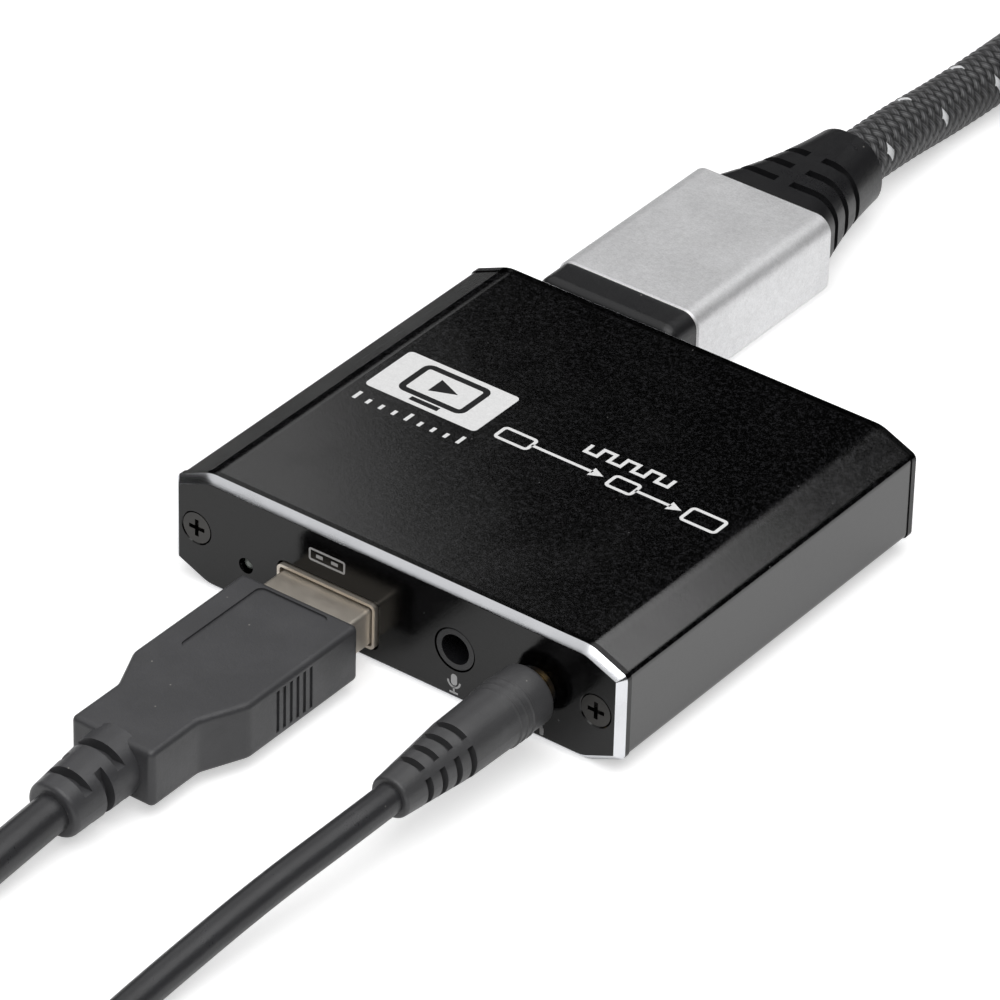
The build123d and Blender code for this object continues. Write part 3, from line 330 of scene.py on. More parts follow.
@dataclass(frozen=True)
class Anodised(Finish):
    """Blasted aluminium with a dyed oxide skin: fine grain, die lines, a few dust specks, and painted
    glints on the grain's crests.
    """

    fineness: float = 5200.0
    grain_height: float = 0.0035 * MM
    swing: float = 0.05
    line_height: float = 0.0008 * MM
    specks: float = 0.006
    dust: Colour = (0.1, 0.1, 0.1)
    crests: Flat = (0.52, 0.78)
    # sparkle: how many times lighter the colour is on the grain's crests, a painted glint
    sparkle: float = 45.0

    def texture(self, sheet: NodeSheet, effects: SharedEffects) -> Wiring:
        """Grain leans the surface and swings its roughness, its crests lighten the colour as painted
        glints, and dust lightens it in spots.
        """
        grain = effects.grain.place(sheet, Fineness=self.fineness)
        marks = effects.handling.place(sheet, Specks=self.specks)
        low, high = self.roughness - self.swing, self.roughness + self.swing
        rough = sheet.between(grain["Grain"], low, high)
        smudge = sheet.times(marks["Smudge"], self.swing)
        # Painted glints: the colour is many times lighter on the grain's crests
        painted_glint_share = sheet.span(grain["Grain"], self.crests)
        skin = sheet.tint(painted_glint_share, self.colour, self.lighter(self.sparkle))
        drawn = sheet.bump(effects.drawn.place(sheet)["Along Y"], self.line_height)
        return {
            "Roughness": sheet.maths("ADD", rough, smudge),
            "Base Color": sheet.tint(marks["Speck"], skin, self.dust),
            "Normal": sheet.bump(grain["Grain"], self.grain_height, drawn),
        }


@dataclass(frozen=True)
class CutEdge(Finish):
    """Aluminium bared by a diamond cutter: bright, with the cutter's fine lines."""

    line_height: float = 0.002 * MM
    line_fineness: float = 12000.0
    cloud_fineness: float = 9000.0
    cloud_tone: float = 0.88
    dulling: Flat = (0.7, 1.4)

    def texture(self, sheet: NodeSheet, effects: SharedEffects) -> Wiring:
        """Cutter lines lean the surface, and a slow cloud dulls it in places."""
        lines = effects.drawn.place(sheet, Fineness=self.line_fineness)["Along X"]
        cloud = effects.grain.place(sheet, Fineness=self.cloud_fineness)["Cloud"]
        return {
            "Roughness": self.rougher(sheet, cloud, *self.dulling),
            "Base Color": sheet.tint(cloud, self.colour, self.lighter(self.cloud_tone)),
            "Normal": sheet.bump(lines, self.line_height),
        }


@dataclass(frozen=True)
class PressedMetal(Finish):
    """Rolled and plated sheet: faint rolling lines, handling marks and a slow tint."""

    warm: Colour = (0.5, 0.45, 0.4)
    fineness: float = 8000.0
    smudge_size: float = 400.0
    dulling: float = 1.2
    line_height: float = 0.001 * MM

    def texture(self, sheet: NodeSheet, effects: SharedEffects) -> Wiring:
        """Clouds shift the colour to its warm tone, and smudges dull it."""
        grain = effects.grain.place(sheet, Fineness=self.fineness)
        marks = effects.handling.place(sheet, **{"Smudge size": self.smudge_size})
        drawn = sheet.bump(effects.drawn.place(sheet)["Along Y"], self.line_height)
        return {
            "Base Color": sheet.tint(grain["Cloud"], self.colour, self.warm),
            "Roughness": self.rougher(sheet, marks["Smudge"], 1.0, self.dulling),
            "Normal": sheet.bump(grain["Grain"], self.line_height, drawn),
        }


@dataclass(frozen=True)
class Moulded(Finish):
    """Moulded plastic or rubber: a spark-eroded skin, slow flow marks, smudges and lint."""

    fineness: float = 4200.0
    skin_height: float = 0.012 * MM
    flow_height: float = 0.02 * MM
    bloom: float = 1.5
    specks: float = 0.008
    swing: float = 0.15
    smudge_gloss: float = 0.25
    lint: Colour = (0.3, 0.29, 0.27)

    def texture(self, sheet: NodeSheet, effects: SharedEffects) -> Wiring:
        """Skin and flow lean the surface, and bloom and lint lighten it."""
        grain = effects.grain.place(sheet, Fineness=self.fineness)
        marks = effects.handling.place(sheet, Specks=self.specks)
        tone = sheet.tint(marks["Smudge"], self.colour, self.lighter(self.bloom))
        rough = self.rougher(sheet, grain["Grain"], 1 - self.swing, 1 + self.swing)
        smudge = sheet.times(marks["Smudge"], -self.smudge_gloss * self.roughness)
        flow = sheet.bump(grain["Cloud"], self.flow_height)
        return {
            "Base Color": sheet.tint(marks["Speck"], tone, self.lint),
            "Roughness": sheet.maths("ADD", rough, smudge),
            "Normal": sheet.bump(grain["Grain"], self.skin_height, flow),
        }


@dataclass(frozen=True)
class BlastedCover(Finish):
    """Bare blasted aluminium: a coarse sparkle of small facets, smudged by hands."""

    fineness: float = 5200.0
    grain_height: float = 0.012 * MM
    smudge_size: float = 160.0
    tones: Flat = (0.86, 1.08)
    dulling: float = 1.12

    def texture(self, sheet: NodeSheet, effects: SharedEffects) -> Wiring:
        """Grain leans the surface and lightens its crests."""
        grain = effects.grain.place(sheet, Fineness=self.fineness)["Grain"]
        marks = effects.handling.place(sheet, **{"Smudge size": self.smudge_size})
        return {
            "Base Color": sheet.tint(grain, *map(self.lighter, self.tones)),
            "Roughness": self.rougher(sheet, marks["Smudge"], 1.0, self.dulling),
            "Normal": sheet.bump(grain, self.grain_height),
        }


@dataclass(frozen=True)
class Braided(Finish):
    """Braided black monofilament over a cord, with a few white tracer yarns, painted shade in its
    grooves and painted highlight on its crowns and strands.
    """

    painted_groove_shade: Colour = (0.002, 0.002, 0.002)
    tracer: Colour = (0.78, 0.79, 0.8)
    weave_height: float = 0.25 * MM
    shown_heights: Flat = (0.25, 0.9)
    strand_sheen_tones: Flat = (0.5, 1.6)
    strand_relief: float = 0.12
    dulling: float = 1.3

    def texture(self, sheet: NodeSheet, effects: SharedEffects) -> Wiring:
        """The weave paints shade into its grooves and highlight onto its crowns and strands, and its
        strands lean the surface.
        """
        weave = effects.weave.place(sheet)
        # Painted light: the colour runs from painted shade in the grooves to the yarn's grey, a painted
        # highlight on the crowns
        height = sheet.span(weave["Height"], self.shown_heights)
        # The strand ripple lightens and darkens the yarn as painted sheen on its filaments
        yarn = sheet.tint(weave["Strand"], *map(self.lighter, self.strand_sheen_tones))
        tone = sheet.tint(height, self.painted_groove_shade, yarn)
        relief = sheet.maths("MULTIPLY_ADD", weave["Strand"], self.strand_relief, weave["Height"])
        return {
            "Base Color": sheet.tint(weave["Tracer"], tone, self.tracer),
            "Normal": sheet.bump(relief, self.weave_height),
            "Roughness": self.rougher(sheet, weave["Strand"], self.dulling, 1.0),
        }


@dataclass(frozen=True)
class BoardMask(Finish):
    """Solder mask over copper, with tracks in the places of a square cell pattern."""

    track: Colour = (0.02, 0.12, 0.06)
    cells: float = 700.0
    track_edge: Flat = (0.28, 0.34)
    track_height: float = 0.02 * MM

    def texture(self, sheet: NodeSheet, effects: SharedEffects) -> Wiring:
        """Tracks show lighter through the mask and stand up a little."""
        inputs = {"Vector": sheet.object_place(), "Scale": self.cells}
        cells = sheet.add("TexVoronoi", inputs, distance="CHEBYCHEV").outputs["Distance"]
        tracks = sheet.span(cells, self.track_edge, WHOLE[::-1])
        tone = sheet.tint(tracks, self.colour, self.track)
        return {"Base Color": tone, "Normal": sheet.bump(tracks, self.track_height)}


@dataclass(frozen=True)
class PrintedInk(Finish):
    """Screen printed ink: a thin skin over the grain below it, a little uneven."""

    fineness: float = 5200.0
    grain_height: float = 0.004 * MM
    grain_tone: float = 0.86

    def texture(self, sheet: NodeSheet, effects: SharedEffects) -> Wiring:
        """The grain below shows in the ink's tone and lean."""
        grain = effects.grain.place(sheet, Fineness=self.fineness)["Grain"]
        tone = sheet.tint(grain, self.lighter(self.grain_tone), self.colour)
        return {"Base Color": tone, "Normal": sheet.bump(grain, self.grain_height)}


@dataclass(frozen=True)
class ClearLens(Finish):
    """Cast clear epoxy with a slight haze."""

    clear: float = 0.6
    fineness: float = 9000.0
    haze: float = 2.0

    def texture(self, sheet: NodeSheet, effects: SharedEffects) -> Wiring:
        """The lens lets light through, and haze dulls it in places."""
        cloud = effects.grain.place(sheet, Fineness=self.fineness)["Cloud"]
        rough = self.rougher(sheet, cloud, 1.0, self.haze)
        return {"Transmission Weight": self.clear, "Roughness": rough}


SLEEVE_FINISH = Anodised(
    "sleeve_anodised", (0.0003, 0.0003, 0.00033), 0.13, ior=1.85, swing=0.03, grain_height=0.0022 * MM
)
PLATE_FINISH = Anodised(
    "plate_anodised", (0.0001, 0.0001, 0.00011), 0.12, ior=1.42, fineness=6500.0, swing=0.02
)
EDGE_FINISH = CutEdge("cut_edge", (0.86, 0.87, 0.9), 0.2, metallic=1.0)
SCREW_FINISH, SHELL_FINISH, GOLD_FINISH, CAN_FINISH = (
    PressedMetal(title, colour, roughness, metallic=metallic, warm=warm)
    for title, colour, roughness, metallic, warm in (
        ("blackened_screw", (0.05, 0.05, 0.05), 0.32, 1.0, (0.07, 0.068, 0.065)),
        ("nickel_sheet", (0.74, 0.68, 0.6), 0.4, 0.85, (0.68, 0.62, 0.54)),
        ("gold_plating", (0.83, 0.6, 0.25), 0.2, 1.0, (0.75, 0.5, 0.2)),
        ("capacitor_can", (0.75, 0.75, 0.77), 0.3, 1.0, (0.65, 0.65, 0.68)),
    )
)
BOARD_FINISH = BoardMask("solder_mask", (0.004, 0.03, 0.012), 0.35, coat=0.4)
WHITE_NYLON, BLACK_NYLON, CHIP_FINISH, FERRITE_FINISH, CERAMIC_FINISH = (
    Moulded(title, colour, roughness, bloom=bloom, specks=0.0)
    for title, colour, roughness, bloom in (
        ("white_nylon", (0.7, 0.69, 0.66), 0.45, 1.05),
        ("black_nylon", (0.008, 0.008, 0.009), 0.35, 1.5),
        ("chip_epoxy", (0.012, 0.012, 0.013), 0.55, 1.5),
        ("choke_ferrite", (0.06, 0.058, 0.055), 0.6, 1.5),
        ("chip_ceramic", (0.35, 0.25, 0.15), 0.5, 1.1),
    )
)
LENS_FINISH = ClearLens("light_lens", (0.5, 0.55, 0.5), 0.08)
OVERMOULD_FINISH = Moulded("usb_overmould", (0.05, 0.05, 0.053), 0.44, bloom=1.2, specks=0.012)
BARREL_FINISH = Moulded("audio_barrel", (0.055, 0.055, 0.057), 0.4, bloom=1.2, specks=0.01)
JACKET_FINISH = Moulded(
    "cord_jacket", (0.028, 0.028, 0.03), 0.38, bloom=1.2, specks=0.01, flow_height=0.03 * MM
)
BLACK_MOULDING = Moulded("black_moulding", (0.012, 0.012, 0.013), 0.38, bloom=1.3)
COVER_FINISH = BlastedCover("blasted_cover", (0.9, 0.9, 0.91), 0.5, metallic=0.8)
# The braid's yarn is black; its grey colour here is partly a painted highlight on the crowns
BRAID_FINISH = Braided("braided_jacket", (0.085, 0.085, 0.088), 0.3)
TIE_FINISH = Moulded(
    "hook_and_loop", (0.012, 0.012, 0.013), 0.75, bloom=1.3, specks=0.06, skin_height=0.05 * MM
)
WHITE_INK, GREY_INK, DARK_INK = (
    PrintedInk(title, colour, roughness)
    for title, colour, roughness in (
        ("white_ink", (0.86, 0.86, 0.86), 0.5),
        ("grey_ink", (0.5, 0.5, 0.5), 0.5),
        ("dark_ink", (0.006, 0.006, 0.007), 0.35),
    )
)


class FinishShelf:
    """Every finish's material, made once and handed out by finish."""

    def __init__(self) -> None:
        """Builds the shared effects."""
        self.effects = SharedEffects()
        self.made: dict[str, bpy.types.Material] = {}

    def material(self, finish: Finish) -> bpy.types.Material:
        """The finish's material."""
        if finish.title not in self.made:
            self.made[finish.title] = finish.material(self.effects)
        return self.made[finish.title]

    def dress_nodes(self, finish: Finish, *nodes: str) -> None:
        """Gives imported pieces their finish, and reports each."""
        for node in nodes:
            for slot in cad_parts[node].material_slots:
                slot.material = self.material(finish)
            report.info("dressed %s in %s", node, finish.title)

    def dress_piece(self, piece: Piece, finish: Finish, body: Body, slot: Slot) -> None:
        """Gives a new piece its finish and the body that it rides on."""
        piece.data.materials.clear()
        piece.data.materials.append(self.material(finish))
        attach(piece, body.value)
        report.info("made %s in %s", piece.name, finish.title)


# Surfaces


def unit(vectors: np.ndarray) -> np.ndarray:
    """Vectors divided by their own lengths."""
    return vectors / np.linalg.norm(vectors, axis=-1, keepdims=True)


def grid_quads(rows: int, columns: int, close_rows: bool, close_columns: bool) -> np.ndarray:
    """Quads of a grid of points that are numbered row by row.

    Args:
        rows: how many rows of points there are.
        columns: how many points a row has.
        close_rows: whether the last row joins the first.
        close_columns: whether a row's last point joins its first.

    Returns:
        The four point numbers of each cell, taken in turn.
    """
    row, column = np.meshgrid(
        np.arange(rows if close_rows else rows - 1),
        np.arange(columns if close_columns else columns - 1),
        indexing="ij",
    )
    next_row, next_column = (row + 1) % rows, (column + 1) % columns
    corners = [
        row * columns + column,
        row * columns + next_column,
        next_row * columns + next_column,
        next_row * columns + column,
    ]
    return np.stack(corners, axis=-1).reshape(-1, 4)


def tube_faces(rows: int, columns: int) -> list[list[int]]:
    """Faces of a tube: the cells between its rings, and a cap on each end."""
    last = (rows - 1) * columns
    caps = [list(range(columns))[::-1], list(range(last, last + columns))]
    return grid_quads(rows, columns, False, True).tolist() + caps


def stand(name: str, data: bpy.types.ID) -> Piece:
    """Puts data into the scene as a new object at the origin."""
    piece = bpy.data.objects.new(name, data)
    bpy.context.scene.collection.objects.link(piece)
    return piece


def make_piece(name: str, points: np.ndarray, faces: list, crease: float = 35.0) -> Piece:
    """Makes an object whose faces point outwards.

    Args:
        name: the object's name.
        points: one row of three lengths, in metres, for each point.
        faces: the point numbers of each face, in either sense.
        crease: the angle in degrees past which an edge stays sharp.

    Returns:
        The new object.
    """
    mesh = bpy.data.meshes.new(name)
    mesh.from_pydata(points.reshape(-1, 3).tolist(), [], faces)
    mesh.validate()
    work = bmesh.new()
    work.from_mesh(mesh)
    bmesh.ops.recalc_face_normals(work, faces=work.faces)
    work.to_mesh(mesh)
    work.free()
    mesh.shade_smooth()
    mesh.set_sharp_from_angle(angle=math.radians(crease))
    return stand(name, mesh)


def ring(centre: Flat, radius: float, start: float, stop: float, steps: int) -> np.ndarray:
    """Points on an arc: centre plus radius times cosine and sine, angles in turns."""
    angle = FULL_TURN * np.linspace(start, stop, steps)
    return np.array(centre) + radius * np.stack([np.cos(angle), np.sin(angle)], axis=-1)


@dataclass
class PrintSheet:
    """Flat marks of ink on a plane, gathered into one mesh.

    A mark is a closed slab: its outline at the sunk height and at the proud height.
    """

    name: str
    origin: Place
    right: Place
    up: Place
    sunk: float = 0.02
    proud: float = 0.02
    least_cosine: float = 0.3
    points: list[np.ndarray] = field(default_factory=list)
    faces: list[list[int]] = field(default_factory=list)
    count: int = 0

    def spread(self, flat: np.ndarray, height: float) -> np.ndarray:
        """Points on the plane, raised by a height: origin + x right + y up + height out."""
        right, up = np.array(self.right), np.array(self.up)
        out = np.cross(right, up)
        return np.array(self.origin) + flat[:, :1] * right + flat[:, 1:] * up + height * out

    def keep(self, points: np.ndarray, faces: list[list[int]]) -> None:
        """Adds one closed slab."""
        self.points.append(points)
        self.faces += [[number + self.count for number in face] for face in faces]
        self.count += len(points)

    def patch(self, outline: Line) -> None:
        """A filled mark whose outline goes round once."""
        rings = [self.spread(np.asarray(outline), height) for height in (-self.sunk, self.proud)]
        self.keep(np.vstack(rings), tube_faces(2, len(outline)))

    def stroke(self, path: Line, width: float, closed: bool = False) -> None:
        """A line of ink: a flat profile carried along a path and mitred at its corners.

        At each point the profile's side direction is the path's normal divided by the
        cosine of half the turn there, so that the line keeps its width.
        """
        path = np.asarray(path, dtype=float)
        if closed:
            before, after = np.roll(path, 1, axis=0), np.roll(path, -1, axis=0)
        else:
            before = np.vstack([2 * path[:1] - path[1:2], path[:-1]])
            after = np.vstack([path[1:], 2 * path[-1:] - path[-2:-1]])
        first, second = unit(path - before), unit(after - path)
        along = unit(first + second)
        normal = np.stack([-along[:, 1], along[:, 0]], axis=-1)
        mitre = 1 / np.maximum(np.sum(first * along, axis=-1, keepdims=True), self.least_cosine)
        side = normal * mitre * width / 2
        corners = [
            self.spread(path + hand * side, height)
            for hand, height in ((-1, -self.sunk), (1, -self.sunk), (1, self.proud), (-1, self.proud))
        ]
        size = len(path)
        faces = grid_quads(size, 4, True, True).tolist() if closed else tube_faces(size, 4)
        self.keep(np.stack(corners, axis=1).reshape(-1, 3), faces)

    def frame_box(self, centre: Flat, size: Flat, corner: float, width: float) -> None:
        """A rectangle with round corners, drawn as a line."""
        self.stroke(self.box(centre, size, corner), width, closed=True)

    def arrow(self, start: float, tip: float, height: float, width: float) -> None:
        """A level arrow: a line that ends a little inside its head."""
        neck, wing, overlap = tip - 1.6, 0.8, 0.2
        self.stroke([(start, height), (neck + overlap, height)], width)
        self.patch([(neck, height - wing), (tip, height), (neck, height + wing)])

    def box(self, centre: Flat, size: Flat, corner: float) -> np.ndarray:
        """The outline of a rectangle with round corners: four quarter arcs."""
        half_x, half_y = size[0] / 2 - corner, size[1] / 2 - corner
        arcs = [
            ring((centre[0] + sx * half_x, centre[1] + sy * half_y), corner, start, start + 0.25, 6)
            for sx, sy, start in ((1, 1, 0.0), (-1, 1, 0.25), (-1, -1, 0.5), (1, -1, 0.75))
        ]
        return np.vstack(arcs)

    def finish(self) -> Piece:
        """The marks as one object, in metres."""
        return make_piece(self.name, np.vstack(self.points) * MM, self.faces)


# The box


@dataclass
class CaptureBox:
    """The anodised box: its polished edges, its printed signs and the finishes inside it."""

    shelf: FinishShelf
    width: float = 59.4
    depth: float = 54.0
    height: float = 14.4
    corner_width: float = 4.65
    corner_height: float = 2.0
    top_round: float = 4.0
    side_round: float = 0.9
    top: float = 14.28
    arc_points: int = 9

    def outline(self) -> tuple[np.ndarray, np.ndarray]:
        """The end plates' outline, with the outward direction at each of its points.

        Each corner of the octagon is an arc between its two sides: the arc's centre lies
        inwards from the corner along both sides' normals, and its points are the centre
        plus the radius times a direction that turns from one normal to the other.
        """
        half, flat = self.width / 2, self.width / 2 - self.corner_width
        low, high = self.corner_height, self.height - self.corner_height
        right = [(flat, 0), (half, low), (half, high), (flat, self.height)]
        corners = np.array(right + [(-x, z) for x, z in reversed(right)])
        radii = [self.top_round, self.side_round, self.side_round, self.top_round] * 2
        points, directions = [], []
        for number, (corner, radius) in enumerate(zip(corners, radii)):
            first = unit(corner - corners[number - 1])
            second = unit(corners[(number + 1) % 8] - corner)
            normals = [np.array([side[1], -side[0]]) for side in (first, second)]
            middle = unit(normals[0] + normals[1])
            centre = corner - middle * radius / np.dot(middle, normals[0])
            share = np.linspace(0, 1, self.arc_points)[:, None]
            turned = unit(normals[0] * (1 - share) + normals[1] * share)
            points.append(centre + radius * turned)
            directions.append(turned)
        return np.vstack(points), np.vstack(directions)

    def edge_band(self, name: str, face: float, inward: float) -> Piece:
        """The bared metal on a plate's bevel: a six sided profile carried round the outline.

        Args:
            name: the piece's name.
            face: where the plate's outer face stands, along Y.
            inward: 1 where the plate's depth runs towards +Y, else -1.

        Returns:
            A closed ring, a few hundredths of a millimetre proud of the bevel.
        """
        outline, direction = self.outline()
        profile = np.array(
            [(0.0, 0.87), (0.03, 0.81), (0.81, 0.03), (0.87, 0.0), (0.8, 0.14), (0.14, 0.8)]
        )
        flat = outline[:, None, :] - direction[:, None, :] * profile[None, :, :1]
        depth = np.broadcast_to(face + inward * profile[None, :, 1], flat.shape[:2])
        points = np.stack([flat[..., 0], depth, flat[..., 1]], axis=-1)
        quads = grid_quads(len(outline), len(profile), True, True)
        return make_piece(name, points * MM, quads.tolist(), crease=25.0)

    def top_print(self) -> None:
        """A plain screen sign in a white block, and rows of plain marks beside it."""
        sheet = PrintSheet("top_print", (0.0, 0.0, self.top), (1, 0, 0), (0, 1, 0))
        sheet.patch(sheet.box((-15.7, 1.85), (15.0, 8.3), 0.6))
        thick, thin, row = 0.45, 0.42, -0.5
        first_tick, tick_pitch, tick_foot = -22.4, 1.75, -5.2
        for place in range(9):
            x, tall = first_tick + tick_pitch * place, 1.5 if place % 4 == 0 else 0.9
            sheet.stroke([(x, tick_foot), (x, tick_foot + tall)], thick)
        wave_start, wave_pitch, wave_foot, wave_tall = 3.2, 1.55, 2.15, 1.5
        wave_x = np.repeat(np.arange(8), 2) * wave_pitch + wave_start
        wave_y = wave_foot + wave_tall * np.roll(np.arange(16) // 2 % 2, 1)
        sheet.stroke(np.stack([wave_x, wave_y], axis=-1), thick)
        for x, size in ((-4.0, (4.2, 2.1)), (10.2, (3.2, 2.1)), (20.7, (4.4, 2.5))):
            sheet.frame_box((x, row), size, 0.4, thin)
        for start, tip in ((-1.9, 7.6), (11.8, 17.8)):
            sheet.arrow(start, tip, row, thin)
        self.shelf.dress_piece(sheet.finish(), WHITE_INK, Body.BOX, Slot.PRINT)
        dark = PrintSheet("top_sign", (0.0, 0.0, self.top), (1, 0, 0), (0, 1, 0), proud=0.035)
        dark.frame_box((-15.7, 2.25), (8.2, 5.2), 0.7, 0.8)
        dark.patch([(-17.0, 0.95), (-17.0, 3.55), (-13.9, 2.25)])
        dark.stroke([(-17.6, -1.35), (-13.8, -1.35)], 0.7)
        self.shelf.dress_piece(dark.finish(), DARK_INK, Body.BOX, Slot.DARK_PRINT)

    def front_signs(self) -> None:
        """Signs for the ports: a plug's face, a microphone and a pair of headphones."""
        sheet = PrintSheet("port_signs", (0.0, -self.depth / 2, 0.0), (1, 0, 0), (0, 0, 1))
        sheet.frame_box((-8.75, 10.65), (4.6, 1.35), 0.2, 0.25)
        for centre, size, corner in (
            ((-9.75, 10.65), (0.9, 0.4), 0.08),
            ((-7.75, 10.65), (0.9, 0.4), 0.08),
            ((8.2, 2.95), (0.8, 1.4), 0.39),
            ((17.75, 1.55), (0.5, 0.95), 0.15),
            ((19.65, 1.55), (0.5, 0.95), 0.15),
        ):
            sheet.patch(sheet.box(centre, size, corner))
        for path, width in (
            (ring((8.2, 2.75), 0.78, 0.5, 1.0, 13), 0.22),
            ([(8.2, 2.0), (8.2, 1.35)], 0.22),
            ([(7.65, 1.3), (8.75, 1.3)], 0.22),
            (ring((18.7, 1.9), 0.95, 0.0, 0.5, 15), 0.24),
        ):
            sheet.stroke(path, width)
        self.shelf.dress_piece(sheet.finish(), GREY_INK, Body.BOX, Slot.PRINT)

    def build(self) -> None:
        """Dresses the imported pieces, then adds the edges and the signs."""
        finishes = {
            SLEEVE_FINISH: ["sleeve"],
            PLATE_FINISH: ["front_plate", "rear_plate"],
            SCREW_FINISH: ["front_screws", "rear_screws"],
            BOARD_FINISH: ["circuit_board"],
            SHELL_FINISH: [
                "usb_socket_shell", "video_in_shell", "video_out_shell", "crystals",
                "microphone_socket_pins", "headphone_socket_pins",
            ],
            WHITE_NYLON: ["usb_socket_insulator"],
            BLACK_NYLON: [
                "microphone_socket", "headphone_socket", "video_in_insulator", "video_out_insulator",
            ],
            GOLD_FINISH: ["usb_socket_contacts", "video_in_contacts", "video_out_contacts"],
            CHIP_FINISH: ["capture_chip", "splitter_chip", "memory_chip", "sound_chip"],
            FERRITE_FINISH: ["power_chokes"],
            CAN_FINISH: ["round_capacitors"],
            CERAMIC_FINISH: ["small_components"],
            LENS_FINISH: ["status_light"],
        }
        for finish, nodes in finishes.items():
            self.shelf.dress_nodes(finish, *nodes)
        for name, inward in (("front_edge", 1.0), ("rear_edge", -1.0)):
            band = self.edge_band(name, -inward * self.depth / 2, inward)
            self.shelf.dress_piece(band, EDGE_FINISH, Body.BOX, Slot.POLISHED_EDGE)
        self.top_print()
        self.front_signs()


# Leads


@dataclass(frozen=True)
class HankLay:
    """A put-away hank: runs in layers one over another, joined by half turns."""

    heading: int
    side: int
    radius: float
    run: float
    layers: int
    pitch: float
    steps: int = 8
    push: float = 1 / 0.981
    level_shares: tuple[float, ...] = (0.35, 0.65)
    climbing_shares: tuple[float, ...] = (0.25, 0.55, 0.85)
    climb_after: float = 0.7

    def points(self, start: Place) -> tuple[list[Place], Place, int, int]:
        """The spline's points round the hank.

        A half turn is x = x0 + side R (1 - cos t), y = y0 + heading R sin t, with t from 0
        to half a circle. Its points lie a little outside it, because the spline runs inside
        its points. Each second run climbs by a pitch past its middle.

        Args:
            start: where the first run starts, in millimetres.

        Returns:
            The points, where the last half turn ends, and the heading and side there.
        """
        (x, y, z), heading, side, found = start, self.heading, self.side, []
        angle = (np.arange(self.steps) + 0.5) * math.pi / self.steps
        near = self.radius * math.sin(angle[0]) * self.push
        for turn in range(2 * self.layers - 1):
            climbs = turn % 2
            shares = np.array(self.climbing_shares if climbs else self.level_shares)
            along = np.concatenate([[near], shares * self.run, [self.run - near]])
            lift = z + climbs * self.pitch * (along > self.climb_after * self.run)
            for gone, height in zip(along.tolist(), lift.tolist()):
                found.append((x, y + heading * gone, height))
            y, z = y + heading * self.run, z + climbs * self.pitch
            across = x + side * self.radius * (1 - np.cos(angle) * self.push)
            ahead = y + heading * self.radius * np.sin(angle) * self.push
            found += [(right, far, z) for right, far in zip(across.tolist(), ahead.tolist())]
            x, heading, side = x + 2 * side * self.radius, -heading, -side
        return found, (x, y, z), heading, side


